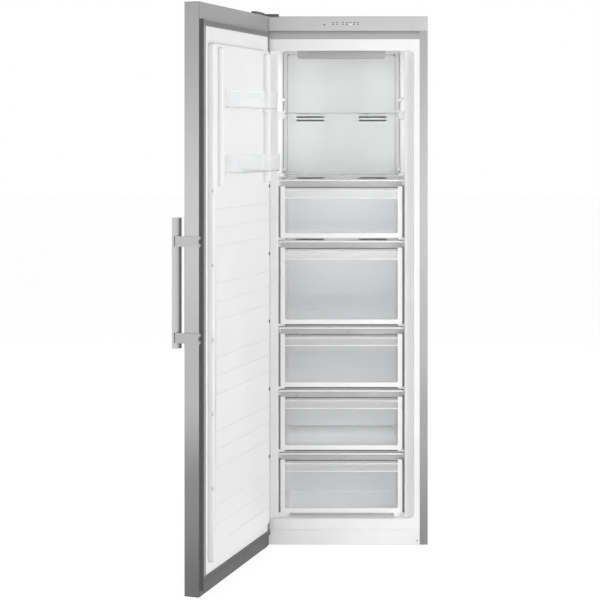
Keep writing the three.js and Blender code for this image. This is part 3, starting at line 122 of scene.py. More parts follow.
class Shader(NodeTree):
    """A material with one main shader and the functions that its looks are made of."""

    def __init__(self, name):
        self.material = bpy.data.materials.new(name)
        super().__init__(self.material)
        self.output = self.add("ShaderNodeOutputMaterial")
        self.main = self.add("ShaderNodeBsdfPrincipled")
        self.show(self.main.outputs["BSDF"])
        self.place = self.add("ShaderNodeTexCoord").outputs["Object"]

    def show(self, shader):
        self.link(shader, self.output.inputs["Surface"])

    def fixed(self, **values):
        for key, value in values.items():
            self.main.inputs[key.replace("_", " ")].default_value = value

    def stretched(self, scale):
        mapping = self.add("ShaderNodeMapping")
        mapping.inputs["Scale"].default_value = scale
        self.link(self.place, mapping.inputs["Vector"])
        return mapping.outputs["Vector"]

    def noise(self, scale, detail=3.0, vector=None, roughness=0.5):
        node = self.add("ShaderNodeTexNoise")
        node.inputs["Scale"].default_value = scale
        node.inputs["Detail"].default_value = detail
        node.inputs["Roughness"].default_value = roughness
        self.link(vector or self.place, node.inputs["Vector"])
        return node.outputs["Fac"]

    def cells(self, scale):
        node = self.add("ShaderNodeTexVoronoi")
        node.inputs["Scale"].default_value = scale
        self.link(self.place, node.inputs["Vector"])
        return node.outputs["Distance"]

    def ramp(self, value, low, high, start=0.3, end=0.7):
        """A value that runs from low to high while its source runs from start to end."""
        node = self.add("ShaderNodeMapRange")
        node.inputs["From Min"].default_value = start
        node.inputs["From Max"].default_value = end
        node.inputs["To Min"].default_value = low
        node.inputs["To Max"].default_value = high
        self.link(value, node.inputs["Value"])
        return node.outputs["Result"]

    def colours(self, value, first, second, start=0.3, end=0.7):
        node = self.add("ShaderNodeMix", data_type="RGBA")
        self.link(self.ramp(value, 0.0, 1.0, start, end), node.inputs["Factor"])
        node.inputs["A"].default_value = first
        node.inputs["B"].default_value = second
        return node.outputs["Result"]

    def times(self, first, second):
        node = self.add("ShaderNodeMix", data_type="RGBA", blend_type="MULTIPLY")
        node.inputs["Factor"].default_value = 1.0
        self.link(first, node.inputs["A"])
        self.link(second, node.inputs["B"])
        return node.outputs["Result"]

    def graded(self, stops, axis="Z"):
        """A grey that eases through stops of (place on the cabinet's axis, level)."""
        split = self.add("ShaderNodeSeparateXYZ")
        self.link(self.place, split.inputs["Vector"])
        ramp = self.add("ShaderNodeValToRGB")
        ramp.color_ramp.interpolation = "EASE"
        marks = ramp.color_ramp.elements
        while len(marks) < len(stops):
            marks.new(0.5)
        first, last = stops[0][0], stops[-1][0]
        for mark, (place, level) in zip(marks, stops):
            mark.position = (place - first) / (last - first)
            mark.color = grey(level)
        zero = CABINET["XYZ".index(axis)]
        along = self.ramp(split.outputs[axis], 0.0, 1.0, first * MM + zero, last * MM + zero)
        self.link(along, ramp.inputs["Fac"])
        return ramp.outputs["Color"]

    def colour_from(self, socket):
        self.link(socket, self.main.inputs["Base Color"])

    def roughness_from(self, socket):
        self.link(socket, self.main.inputs["Roughness"])

    def bump(self, height, distance, strength=1.0):
        node = self.add("ShaderNodeBump")
        node.inputs["Strength"].default_value = strength
        node.inputs["Distance"].default_value = distance
        self.link(height, node.inputs["Height"])
        self.link(node.outputs["Normal"], self.main.inputs["Normal"])

    def lamps_pass(self, tint):
        """Lamp light and soft bounced light go straight through the clear wall."""
        rays = self.add("ShaderNodeLightPath").outputs
        clear = self.add("ShaderNodeBsdfTransparent")
        clear.inputs["Color"].default_value = tint
        passing = self.larger(rays["Is Shadow Ray"], rays["Is Diffuse Ray"])
        self.show(self.mixed(passing, self.main.outputs["BSDF"], clear.outputs["BSDF"]))


# ---- Looks ---------------------------------------------------------------------------------

BRUSH_STRETCH = (60.0, 60.0, 0.8)
RAIL_STRETCH = (0.35, 14.0, 14.0)


def brushed(name, stops, metal, rough, axis="Z"):
    """Steel with fine upright brush lines, on a grey graded along an axis: the grade is painted shade.
    """
    s = Shader(name)
    lines = s.noise(14.0, 4.0, s.stretched(BRUSH_STRETCH), 0.65)
    s.colour_from(s.times(s.graded(stops, axis), s.colours(lines, grey(248), grey(255), 0.25, 0.75)))
    s.roughness_from(s.ramp(s.noise(2.2, 2.0), rough - 0.04, rough + 0.05))
    s.fixed(Metallic=metal, Anisotropic=0.35)
    s.bump(lines, 0.00002, 0.6)
    return s.material


def rail_steel_painted_shadow():
    """The painted steel rail over the mouth, with a painted shadow under the control panel's overhang:
    darker towards its top.
    """
    s = Shader("upper_rail_painted_shadow")
    split = s.add("ShaderNodeSeparateXYZ")
    s.link(s.place, split.inputs["Vector"])
    lit, shaded = at(0, 0, 1755.0).z, at(0, 0, 1769.5).z
    s.colour_from(s.colours(split.outputs["Z"], grey(176), grey(136), lit, shaded))
    s.roughness_from(s.ramp(s.noise(2.2), 0.4, 0.5))
    s.fixed(Metallic=0.5)
    s.bump(s.noise(14.0, 4.0, s.stretched(RAIL_STRETCH)), 0.00002, 0.6)
    return s.material


def moulded(name, level, rough, grain_scale=900.0, grain=0.00001, spread=2):
    """A moulded plastic with a faint cloud in its grey and a fine grain."""
    s = Shader(name)
    s.colour_from(s.colours(s.noise(6.0, 2.0), grey(level - spread), grey(level + spread)))
    s.roughness_from(s.ramp(s.noise(24.0, 3.0), rough - 0.04, rough + 0.05))
    s.bump(s.noise(grain_scale, 2.0), grain, 0.5)
    return s.material


def crease_shaded(name, level, crease_shade_level, reach):
    """A moulded white with painted shade: its narrow grooves and inner corners are greyer where an
    occlusion node finds them enclosed.
    """
    s = Shader(name)
    occlusion = s.add("ShaderNodeAmbientOcclusion", samples=8, only_local=True)
    occlusion.inputs["Distance"].default_value = reach
    shade = s.colours(occlusion.outputs["AO"], grey(crease_shade_level), grey(level), 0.55, 0.95)
    s.colour_from(s.times(shade, s.colours(s.noise(6.0, 2.0), grey(251), grey(255))))
    s.roughness_from(s.ramp(s.noise(24.0, 3.0), 0.30, 0.39))
    s.bump(s.noise(900.0, 2.0), 0.00001, 0.5)
    return s.material


def clear_moulding(name, tint, rough, ior, haze, edge_painted_sheen):
    """A clear wall, misted by the share haze where it is seen square; towards its edge the mist rises
    further, a whitening that is a painted reflection.
    """
    s = Shader(name)
    s.fixed(Base_Color=tint, IOR=ior)
    graze = s.add("ShaderNodeLayerWeight")
    graze.inputs["Blend"].default_value = 0.35
    clear_share = s.ramp(graze.outputs["Facing"], 1.0 - haze, 1.0 - edge_painted_sheen, 0.35, 1.0)
    s.link(clear_share, s.main.inputs["Transmission Weight"])
    s.roughness_from(s.ramp(s.noise(9.0, 3.0), rough, rough + 0.03))
    s.bump(s.noise(28.0, 2.0), 0.00002, 0.2)
    s.lamps_pass(tint)
    return s.material


def rubber(name, stops):
    s = Shader(name)
    s.colour_from(s.times(s.graded(stops), s.colours(s.noise(30.0), grey(246), grey(255))))
    s.roughness_from(s.ramp(s.noise(120.0), 0.62, 0.78))
    s.bump(s.noise(700.0), 0.00004, 0.5)
    return s.material


def zinc_plate():
    s = Shader("zinc_plate")
    spangle = s.cells(90.0)
    s.colour_from(s.colours(spangle, grey(170), grey(200), 0.1, 0.9))
    s.roughness_from(s.ramp(s.noise(40.0), 0.34, 0.5))
    s.fixed(Metallic=0.85)
    s.bump(spangle, 0.00003, 0.3)
    return s.material


def rigid_foam():
    s = Shader("rigid_foam")
    cell = s.cells(420.0)
    s.colour_from(s.colours(s.noise(18.0), (0.72, 0.62, 0.36, 1), (0.82, 0.74, 0.50, 1)))
    s.roughness_from(s.ramp(cell, 0.75, 0.95))
    s.bump(cell, 0.0004, 0.7)
    return s.material


def copper():
    s = Shader("copper_line")
    s.colour_from(s.colours(s.noise(60.0), (0.55, 0.26, 0.14, 1), (0.78, 0.42, 0.26, 1)))
    s.roughness_from(s.ramp(s.noise(90.0), 0.22, 0.42))
    s.fixed(Metallic=1.0)
    s.bump(s.noise(260.0), 0.00003, 0.4)
    return s.material


def black_paint():
    s = Shader("black_paint")
    s.colour_from(s.colours(s.noise(30.0), grey(22), grey(38)))
    s.roughness_from(s.ramp(s.noise(70.0), 0.26, 0.42))
    s.fixed(Coat_Weight=0.3, Coat_Roughness=0.15)
    s.bump(s.noise(420.0), 0.00008, 0.5)
    return s.material


def aluminium():
    s = Shader("coil_aluminium")
    s.colour_from(s.colours(s.noise(50.0), grey(196), grey(216)))
    s.roughness_from(s.ramp(s.noise(80.0), 0.28, 0.42))
    s.fixed(Metallic=1.0)
    s.bump(s.noise(300.0), 0.00004, 0.4)
    return s.material


# Grey levels along the height, and on the handle bar along x, from its outer to its inner face.
# Painted shade: the door steel darkens towards the bottom, and a little towards the top.
DOOR_SHADE_GREYS = [(0, 114), (330, 142), (620, 188), (1150, 206), (1820, 172)]
# Painted shade: the cabinet steel darkens towards the bottom, and a little towards the top.
CABINET_SHADE_GREYS = [(0, 146), (400, 168), (700, 186), (1150, 200), (1820, 178)]
# Painted shade: the handle bar is lightest on its outer face and darker towards its inner face.
HANDLE_SHADE_GREYS = [(-511, 208), (-505, 198), (-499, 180), (-495, 164), (-486, 156)]
# Painted shade: the handle brackets are a little darker lower down.
BRACKET_SHADE_GREYS = [(700, 188), (1200, 198)]
# Painted shade: the gasket's top run under the door cap is darker; its bottom run is darker too.
GASKET_SHADE_GREYS = [(0, 92), (60, 96), (68, 158), (1740, 158), (1750, 124), (1800, 124)]
# Painted shadow: the even dark grey of the strip in the seal gap.
SEAL_SHADOW_GREYS = [(0, 94), (1800, 94)]
SEAM_GREYS = [(0, 128), (1800, 128)]

GLASS_TINT = (0.98, 0.99, 0.99, 1.0)
CLEAR_TINT = (0.985, 0.987, 0.99, 1.0)
MISTED_TINT = (0.94, 0.94, 0.94, 1.0)
# Painted light: a paler tint for the misted plate in the upper drawers.
LIT_MISTED_TINT = (0.96, 0.96, 0.965, 1.0)
GLASS_IOR = 1.5
PLASTIC_IOR = 1.49

SLOT_LOOKS = {
    "painted_steel": brushed("cabinet_steel", CABINET_SHADE_GREYS, 0.55, 0.42),
    "white_steel": moulded("white_rail", 240, 0.4),
    "zinc_steel": zinc_plate(),
    "control_plastic": moulded("control_grey", 200, 0.42, 1400.0, 0.00002),
    "white_plastic": moulded("liner_white", 241, 0.34),
    "foam": rigid_foam(),
    "lamp_plastic": moulded("lamp_frost", 174, 0.5),
    "coil_aluminium": aluminium(),
    "dark_plastic": moulded("dark_moulding", 78, 0.5, 1100.0, 0.00005),
    "shelf_glass": clear_moulding("shelf_glass", GLASS_TINT, 0.0, GLASS_IOR, 0.0, 0.1),
    "compressor_black": black_paint(),
    "copper_line": copper(),
    "door_steel": brushed("door_steel", DOOR_SHADE_GREYS, 0.7, 0.36),
    "cap_plastic": moulded("cap_grey", 156, 0.45, 1200.0, 0.00002),
    "clear_plastic": clear_moulding("drawer_clear", CLEAR_TINT, 0.02, PLASTIC_IOR, 0.03, 0.6),
    "handle_steel": brushed("handle_steel", HANDLE_SHADE_GREYS, 0.8, 0.3, "X"),
}
bracket_steel = brushed("bracket_steel", BRACKET_SHADE_GREYS, 0.75, 0.34)
foot_grey = moulded("foot_grey", 150, 0.5)
NODE_LOOKS = {
    # Painted shade in the door liner's grooves and inner corners.
    "door_liner": crease_shaded("door_liner_white", 243, 216, 0.008),
    "upper_front_rail": rail_steel_painted_shadow(),
    "door_bottom_cap": moulded("cap_dark", 90, 0.5, 1200.0, 0.00003),
    "door_gasket": rubber("gasket_face", GASKET_SHADE_GREYS),
    "handle_bracket_upper": bracket_steel,
    "handle_bracket_lower": bracket_steel,
    "front_foot_left": foot_grey,
    "front_foot_right": foot_grey,
}

# ---- Rounded edges -------------------------------------------------------------------------

WELD_REACH = 0.00001
FLAT_ANGLE = math.radians(0.4)
EDGE_ANGLE = math.radians(40.0)
NODE_EDGE = 0.0005
PIECE_EDGE = 0.0003
FINE_EDGE = 0.0002
THIN_EDGE = 0.0001
UNROUNDED = ("door_top_cap", "top_hinge")


def smooth_under(angle):
    """Geometry nodes that shade smooth over edges with less than the angle between faces."""
    group = bpy.data.node_groups.new("smooth_rounds", "GeometryNodeTree")
    group.interface.new_socket("Geometry", in_out="INPUT", socket_type="NodeSocketGeometry")
    group.interface.new_socket("Geometry", in_out="OUTPUT", socket_type="NodeSocketGeometry")
    start = group.nodes.new("NodeGroupInput")
    end = group.nodes.new("NodeGroupOutput")
    smooth = group.nodes.new("GeometryNodeSetShadeSmooth")
    smooth.domain = "FACE"
    sharp = group.nodes.new("GeometryNodeSetShadeSmooth")
    sharp.domain = "EDGE"
    sharp.inputs["Shade Smooth"].default_value = False
    edge = group.nodes.new("GeometryNodeInputMeshEdgeAngle")
    over = group.nodes.new("FunctionNodeCompare")
    over.data_type = "FLOAT"
    over.operation = "GREATER_THAN"
    over.inputs["B"].default_value = angle
    link = group.links.new
    link(edge.outputs["Unsigned Angle"], over.inputs["A"])
    link(start.outputs[0], smooth.inputs["Geometry"])
    link(smooth.outputs["Geometry"], sharp.inputs["Geometry"])
    link(over.outputs["Result"], sharp.inputs["Selection"])
    link(sharp.outputs["Geometry"], end.inputs[0])
    return group


SHADING = smooth_under(math.radians(31.5))
ROUND_SHADING = smooth_under(math.radians(60.0))


def weld(obj):
    modifier = obj.modifiers.new("weld", "WELD")
    modifier.merge_threshold = WELD_REACH


def shade(obj, group):
    modifier = obj.modifiers.new("shading", "NODES")
    modifier.node_group = group


def soften(obj, width, dissolve):
    """Rounds the edges by a width and keeps the flat faces flat."""
    weld(obj)
    if dissolve:
        flat = obj.modifiers.new("flat_faces", "DECIMATE")
        flat.decimate_type = "DISSOLVE"
        flat.angle_limit = FLAT_ANGLE
    if width > 0:
        bevel = obj.modifiers.new("edges", "BEVEL")
        bevel.width = width
        bevel.segments = 2
        bevel.limit_method = "ANGLE"
        bevel.angle_limit = EDGE_ANGLE
        bevel.use_clamp_overlap = True
        bevel.harden_normals = False
    shade(obj, SHADING)
    even = obj.modifiers.new("even_faces", "WEIGHTED_NORMAL")
    even.keep_sharp = True
    even.weight = 100


for entry in frame["record"]["subparts"]:
    name = entry["node"]
    node = frame["nodes"][name]
    node.data.materials.clear()
    node.data.materials.append(NODE_LOOKS.get(name) or SLOT_LOOKS[entry["material_slot"]])
    if name == "handle_bar":
        weld(node)
        shade(node, ROUND_SHADING)
    else:
        soften(node, 0.0 if name in UNROUNDED else NODE_EDGE, name != "door_liner")

# ---- Outlines and pieces -------------------------------------------------------------------

ROUND_STEPS = 4


def outline(corners):
    """A closed outline of corners (a, b) or (a, b, radius), with its rounds as arcs."""
    points = []
    for index, corner in enumerate(corners):
        here = Vector(corner[:2])
        radius = corner[2] if len(corner) > 2 else 0
        if not radius:
            points.append(here)
            continue
        before = Vector(corners[index - 1][:2]) - here
        after = Vector(corners[(index + 1) % len(corners)][:2]) - here
        reach = radius / math.tan(before.angle(after) / 2)
        start, end = here + before.normalized() * reach, here + after.normalized() * reach
        inward = (before.normalized() + after.normalized()).normalized()
        middle = here + inward * math.hypot(radius, reach)
        first, turn = start - middle, (start - middle).angle_signed(end - middle)
        for step in range(ROUND_STEPS + 1):
            angle = -turn * step / ROUND_STEPS
            c, d = math.cos(angle), math.sin(angle)
            points.append(middle + Vector((first.x * c - first.y * d, first.x * d + first.y * c)))
    return points


def rectangle(a0, a1, b0, b1, radius=0):
    return outline([(a0, b0, radius), (a1, b0, radius), (a1, b1, radius), (a0, b1, radius)])


# Where an outline's a and b and the length c along the prism lie among x, y and z.
AXES = {
    "x": lambda a, b, c: (c, a, b),
    "y": lambda a, b, c: (a, c, b),
    "z": lambda a, b, c: (a, b, c),
}


class Piece:
    """A visible piece in the cabinet's or the door's axes, made of prisms."""

    def __init__(self, name, look, body):
        self.name, self.look, self.body = name, look, body
        self.place = on_door if body == "door" else at
        self.mesh = bmesh.new()

    def prism(self, points, axis, start, end):
        rings = []
        for along in (start, end):
            places = [self.place(*AXES[axis](point.x, point.y, along)) for point in points]
            rings.append([self.mesh.verts.new(place) for place in places])
        count = len(points)
        self.mesh.faces.new(rings[0])
        self.mesh.faces.new(rings[1])
        for i in range(count):
            j = (i + 1) % count
            self.mesh.faces.new((rings[0][i], rings[0][j], rings[1][j], rings[1][i]))

    def done(self, edge):
        """Makes the object, with its edges rounded, and lets it ride on its body."""
        bmesh.ops.recalc_face_normals(self.mesh, faces=self.mesh.faces)
        mesh = bpy.data.meshes.new(self.name)
        self.mesh.to_mesh(mesh)
        self.mesh.free()
        mesh.materials.append(self.look)
        obj = bpy.data.objects.new(self.name, mesh)
        bpy.context.scene.collection.objects.link(obj)
        soften(obj, edge, dissolve=False)
        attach(obj, self.body)


# ---- Drawers -------------------------------------------------------------------------------

DRAWERS = range(1, 6)
UPPER_DRAWERS = (1, 2)
STRIPPED_DRAWERS = (2, 3, 4)
LOWEST_DRAWER = 5

# Painted reflection and highlight: the opaque white of the pane's edge and the lip's bright line.
BORDER_REFLECTION = moulded("drawer_border_reflection", 244, 0.3)
# Painted shade: the grey of the finger grip's hollow, also used for the strip under the lowest drawer.
GRIP_SHADE = moulded("drawer_grip_shade", 196, 0.3, spread=6)
# Painted shadow: the dark lines round the drawer fronts.
SHADOW_LINE = moulded("drawer_edge_shadow", 112, 0.4)
HAZE = clear_moulding("drawer_haze", MISTED_TINT, 0.12, PLASTIC_IOR, 0.12, 0.5)
# Painted light: the paler, more misted copy for the upper drawers.
LIT_HAZE = clear_moulding("drawer_haze_painted_light", LIT_MISTED_TINT, 0.12, PLASTIC_IOR, 0.26, 0.6)
# Painted highlight: the ribs across the pane are near-white and opaque.
RIB_HIGHLIGHT = moulded("drawer_rib_highlight", 250, 0.25)

BORDER_INSET = 5.2
BORDER_WIDTH = 15.8
BORDER_SETBACK = 0.7
BORDER_DEPTH = 2.25
BORDER_SILL = 14.0
BORDER_SKIRT = 2.0
GRIP_DROP = 22.5
LIP_OVERLAP = 0.5
RIB_DROPS = (36.0, 62.0)
RIB_HEIGHT = 2.8
HAZE_TOP, HAZE_BOTTOM = 38.8, 61.5
GRIP_TOP, GRIP_FOOT = 4.3, 28.6
GRIP_MOUTH, GRIP_REAR = 3.0, 13.7
GRIP_WALL = 0.8
LINE_TOP, LINE_BOTTOM = 24.8, 28.4
FLANK_DEPTH = 28.0
LINE_ROUND = 0.5


class DrawerFace:
    """The lines of one drawer's front that its trim follows."""

    def __init__(self, number):
        self.number = number
        self.body = f"drawer_{number}"
        low, high = cabinet_box(f"{self.body}_front")
        self.front, self.bottom, self.top, self.side = low.y, low.z, high.z, high.x
        self.outer = self.side - BORDER_INSET
        self.inner = self.outer - BORDER_WIDTH
        self.shoulder = self.top - GRIP_DROP
        self.face = self.front + BORDER_SETBACK
        self.back = self.face + BORDER_DEPTH

    def piece(self, kind, look):
        return Piece(f"{self.body}_{kind}", look, self.body)


def drawer_border_reflection(face):
    """The opaque white edge round the pane, open under the grip, which is a painted reflection of the
    clear edge, and the bright line on the lip, which is a painted highlight.
    """
    sill, base = face.bottom + BORDER_SILL, face.bottom - BORDER_SKIRT
    edge = outline([
        (-face.outer, face.shoulder, 2), (-face.outer, base, 7),
        (face.outer, base, 7), (face.outer, face.shoulder, 2),
        (face.inner, face.shoulder, 1), (face.inner, sill, 5),
        (-face.inner, sill, 5), (-face.inner, face.shoulder, 1),
    ])
    lip = rectangle(face.front - LIP_OVERLAP, face.front + 0.4, face.top - 5.0, face.top - 0.3, 0.4)
    lip_end = face.side - LIP_OVERLAP
    piece = face.piece("border", BORDER_REFLECTION)
    piece.prism(edge, "y", face.face, face.back)
    piece.prism(lip, "x", -lip_end, lip_end)
    piece.done(PIECE_EDGE)


# The ribs across the pane, drawn near-white and opaque as a painted highlight.
def drawer_ribs(face):
    ribs = face.piece("ribs", RIB_HIGHLIGHT)
    for drop in RIB_DROPS:
        rib = rectangle(-face.inner, face.inner, face.top - drop - RIB_HEIGHT, face.top - drop, 0.8)
        ribs.prism(rib, "y", face.face + 0.3, face.back)
    ribs.done(PIECE_EDGE)


def drawer_haze(face):
    """The misted plate between the two ribs, paler in the upper drawers as painted light."""
    haze = face.piece("haze", LIT_HAZE if face.number in UPPER_DRAWERS else HAZE)
    plate = rectangle(-face.inner, face.inner, face.top - HAZE_BOTTOM, face.top - HAZE_TOP)
    haze.prism(plate, "y", face.face + 1.4, face.back - 0.1)
    haze.done(THIN_EDGE)


def drawer_grip_shade(face):
    """A grey sheet under the lip and down the back of the finger grip: painted shade in the grip's
    hollow.
    """
    mouth, rear = face.front + GRIP_MOUTH, face.front + GRIP_REAR
    top, foot = face.top - GRIP_TOP, face.top - GRIP_FOOT
    section = outline([
        (mouth, top), (rear, top, 6), (rear, foot),
        (rear - GRIP_WALL, foot), (rear - GRIP_WALL, top - GRIP_WALL, 5.2), (mouth, top - GRIP_WALL),
    ])
    grip = face.piece("grip", GRIP_SHADE)
    grip.prism(section, "x", -face.outer, face.outer)
    grip.done(FINE_EDGE)


def drawer_shadow_lines(face):
    """Painted shadow: dark lines under the grip, along both flanks and below the middle drawers."""
    edges = face.piece("edges", SHADOW_LINE)
    below_grip = rectangle(
        -face.inner, face.inner, face.top - LINE_BOTTOM, face.top - LINE_TOP, LINE_ROUND,
    )
    edges.prism(below_grip, "y", face.face + 1.0, face.back)
    for side in (-1, 1):
        a, b = sorted((side * (face.outer + 0.3), side * (face.side - 0.4)))
        flank = rectangle(a, b, face.bottom + 1, face.shoulder, LINE_ROUND)
        edges.prism(flank, "y", face.front + 1.5, face.front + FLANK_DEPTH)
    if face.number in STRIPPED_DRAWERS:
        reach = face.inner - 1.0
        strip = rectangle(-reach, reach, face.bottom - 8.4, face.bottom - 4.0, LINE_ROUND)
        edges.prism(strip, "y", face.front + 9.0, face.front + 11.0)
    edges.done(FINE_EDGE)


def floor_sill_shadow(face):
    """A painted shadow: the grey strip between the two floor ledges, under the lowest drawer."""
    reach = face.inner - 16
    strip = rectangle(-reach, reach, face.bottom - 12.4, face.bottom - 3.4, LINE_ROUND)
    sill = Piece("floor_sill_shadow", GRIP_SHADE, "cabinet")
    sill.prism(strip, "y", face.front + 12.0, face.front + 15.0)
    sill.done(FINE_EDGE)


def drawer_trim(number):
    face = DrawerFace(number)
    drawer_border_reflection(face)
    drawer_ribs(face)
    drawer_haze(face)
    drawer_grip_shade(face)
    drawer_shadow_lines(face)
    if number == LOWEST_DRAWER:
        floor_sill_shadow(face)


# ---- Cabinet trim --------------------------------------------------------------------------

RIM_WIDTH = 14.0
RIM_DEPTH = 2.4
RIM_GAP = 0.2

MARK_COLUMNS = (-28.7, -15.5, 5.2, 18.6, 31.7, 44.4, 57.2)
MARK_DROPS = (21.1, 27.8)
MARK_HALF = (3.0, 2.1)
LIT_COLUMN = 4
LIT_HALF = 4.2
MARK_PROUD = 0.15
MARK_SUNK = 0.3

PLUG_PLACES = ((262.0, 14.0), (281.6, 15.0))
PLUG_HALF = 2.6


def cover_rim_painted_light():
    """A thin pale rim round the air duct cover, up to the cavity's walls, laid over the cover's shaded
    flanks as painted light.
    """
    low, high = cabinet_box("evaporator_cover")
    face, wide, top = low.y + 0.6, high.x - RIM_GAP, high.z - RIM_GAP
    rim = Piece("cover_rim_painted_light", moulded("rim_painted_light", 238, 0.4), "cabinet")
    for side in (-1, 1):
        a, b = sorted((side * (wide - RIM_WIDTH - RIM_GAP), side * wide))
        rim.prism(rectangle(a, b, low.z + 1, top), "y", face, face + RIM_DEPTH)
    reach = wide - RIM_WIDTH - 2 * RIM_GAP
    rim.prism(rectangle(-reach, reach, top - RIM_WIDTH, top), "y", face, face + RIM_DEPTH)
    rim.done(0.0004)


def panel_marks():
    """The touch marks on the control panel, with one lit field, as plain shapes."""
    low, high = cabinet_box("control_panel")
    front, back = low.y - MARK_PROUD, low.y + MARK_SUNK
    dark = Piece("panel_marks", moulded("mark_grey", 112, 0.4), "cabinet")
    pale = Piece("panel_light", moulded("mark_pale", 238, 0.3), "cabinet")
    upper, lower = (high.z - drop for drop in MARK_DROPS)
    for column, x in enumerate(MARK_COLUMNS):
        for z in (upper, lower):
            lit = column == LIT_COLUMN and z == lower
            half = LIT_HALF if lit else MARK_HALF[0]
            mark = rectangle(x - half, x + half, z - MARK_HALF[1], z + MARK_HALF[1], 1.6)
            (pale if lit else dark).prism(mark, "y", front, back)
    dark.prism(rectangle(-63.5, -54.5, lower - 3.0, lower + 1.2, 1.8), "y", front, back)
    sensor = rectangle(244.8, 247.8, high.z - 38.4, high.z - 35.6, 1.3)
    dark.prism(sensor, "y", low.y - 0.1, back)
    dark.done(THIN_EDGE)
    pale.done(THIN_EDGE)


def front_plugs():
    """Two small plugs low in the front frame."""
    plugs = Piece("front_plugs", moulded("plug_grey", 120, 0.5), "cabinet")
    for x, z in PLUG_PLACES:
        plug = rectangle(x - PLUG_HALF, x + PLUG_HALF, z - PLUG_HALF, z + PLUG_HALF, 2.5)
        plugs.prism(plug, "y", -0.5, 0.4)
    plugs.done(THIN_EDGE)


# ---- Door trim -----------------------------------------------------------------------------

CHANNEL_ENDS = (22.0, 1766.0)
SEAM_ENDS = (1767.0, 1816.0)
BRACKET_HEIGHTS = (791.0, 1086.0)
BRACKET_HALF = 15.6
LINER_PLUGS = 5
LINER_PLUG_TOP = 1239.0
LINER_PLUG_STEP = 228.8
LINER_PLUG_HALF = 5.4


def seal_channel_shadow():
    """A painted shadow: a dark strip in the gap between the gasket and the door's outer edge."""
    section = outline([
        (574.2, 23.1), (574.2, 24.0, 0.4), (565.0, 24.2, 0.5),
        (564.8, 34.5, 0.5), (563.4, 34.5), (563.4, 23.1),
    ])
    channel = Piece("seal_channel_shadow", rubber("seal_painted_shadow", SEAL_SHADOW_GREYS), "door")
    channel.prism(section, "z", *CHANNEL_ENDS)
    channel.done(FINE_EDGE)


def cap_seam():
    """The upright seam at the door's free corner, above the seal channel."""
    seam = Piece("cap_seam", rubber("seam_grey", SEAM_GREYS), "door")
    seam.prism(rectangle(572.2, 574.6, *SEAM_ENDS, LINE_ROUND), "y", 22.9, 23.2)
    seam.done(FINE_EDGE)


def liner_plugs():
    """The row of screw plugs down the door liner's hinge side."""
    plugs = Piece("liner_plugs", moulded("plug_dark", 84, 0.6), "door")
    for step in range(LINER_PLUGS):
        z = LINER_PLUG_TOP - step * LINER_PLUG_STEP
        plug = rectangle(33.0, 46.5, z - LINER_PLUG_HALF, z + LINER_PLUG_HALF, 1.6)
        plugs.prism(plug, "y", 48.8, 49.3)
    plugs.done(THIN_EDGE)


def bracket_end_shadows():
    """A painted shadow at the end of each handle bracket, where it meets the door's edge."""
    ends = Piece("bracket_end_shadows", moulded("bracket_end_shadow", 96, 0.4), "door")
    for middle in BRACKET_HEIGHTS:
        end = rectangle(576.0, 578.9, -58.3, -54.6, LINE_ROUND)
        ends.prism(end, "z", middle - BRACKET_HALF, middle + BRACKET_HALF)
    ends.done(FINE_EDGE)


for number in DRAWERS:
    drawer_trim(number)
cover_rim_painted_light()
panel_marks()
front_plugs()
seal_channel_shadow()
cap_seam()
liner_plugs()
bracket_end_shadows()

# ---- Floor, world, lamps and camera --------------------------------------------------------

FLOOR_REACH = 30.0
FLOOR_GLOW = 1.1
FLOOR_GLOW_SHARE = 0.85
WORLD_LIGHT = 0.32

# Place and aim in metres, width and height in metres, power in watts.
STUDIO_LAMPS = {
    "front": ((0.1, -5.2, 1.5), (0.1, 0.0, 0.95), (2.6, 2.0), 40.0),
    "right": ((3.4, -2.3, 1.3), (0.0, 0.0, 0.92), (1.2, 2.4), 85.0),
    "left": ((-2.8, -4.0, 1.5), (0.1, 0.0, 0.95), (1.2, 2.0), 40.0),
    "back": ((0.8, 4.6, 2.0), (0.0, 0.3, 0.95), (2.6, 2.0), 70.0),
    "outer_left": ((-4.4, 0.6, 1.8), (-0.2, 0.0, 0.95), (1.6, 2.0), 45.0),
}
# A lamp that faces straight up or down is tilted by this, so that its width stays across.
TILT = 0.1

# The photograph's camera is level, and the picture is a cut-out below its optical axis.
FRAME_PIXELS = 600.0
FOCAL_PIXELS = 1456.0
AXIS_RIGHT, AXIS_UP = 41.4, 164.3
SENSOR_WIDTH = 36.0
CAMERA_DISTANCE = 5016.0
CAMERA_HEIGHT = 1409.0


def stage_floor():
    """A pale floor that the seen rays show as white, like the background."""
    mesh = bpy.data.meshes.new("floor")
    r = FLOOR_REACH
    mesh.from_pydata([(-r, -r, 0), (r, -r, 0), (r, r, 0), (-r, r, 0)], [], [(0, 1, 2, 3)])
    floor = bpy.data.objects.new("floor", mesh)
    bpy.context.scene.collection.objects.link(floor)
    s = Shader("floor_pale")
    s.colour_from(s.colours(s.noise(1.5), grey(236), grey(240)))
    s.fixed(Roughness=0.8)
    share = s.add("ShaderNodeMath", operation="MULTIPLY")
    share.inputs[1].default_value = FLOOR_GLOW_SHARE
    s.link(s.seen_ray(), share.inputs[0])
    glow = s.add("ShaderNodeEmission")
    glow.inputs["Strength"].default_value = FLOOR_GLOW
    s.show(s.mixed(share.outputs["Value"], s.main.outputs["BSDF"], glow.outputs["Emission"]))
    mesh.materials.append(s.material)


def stage_world():
    """White behind the object, and a weaker white as light."""
    world = bpy.data.worlds.new("studio")
    nodes = NodeTree(world)
    bpy.context.scene.world = world
    sides = []
    for strength in (WORLD_LIGHT, 1.0):
        side = nodes.add("ShaderNodeBackground")
        side.inputs["Color"].default_value = (1.0, 1.0, 1.0, 1.0)
        side.inputs["Strength"].default_value = strength
        sides.append(side.outputs["Background"])
    out = nodes.add("ShaderNodeOutputWorld")
    nodes.link(nodes.mixed(nodes.seen_ray(), *sides), out.inputs["Surface"])


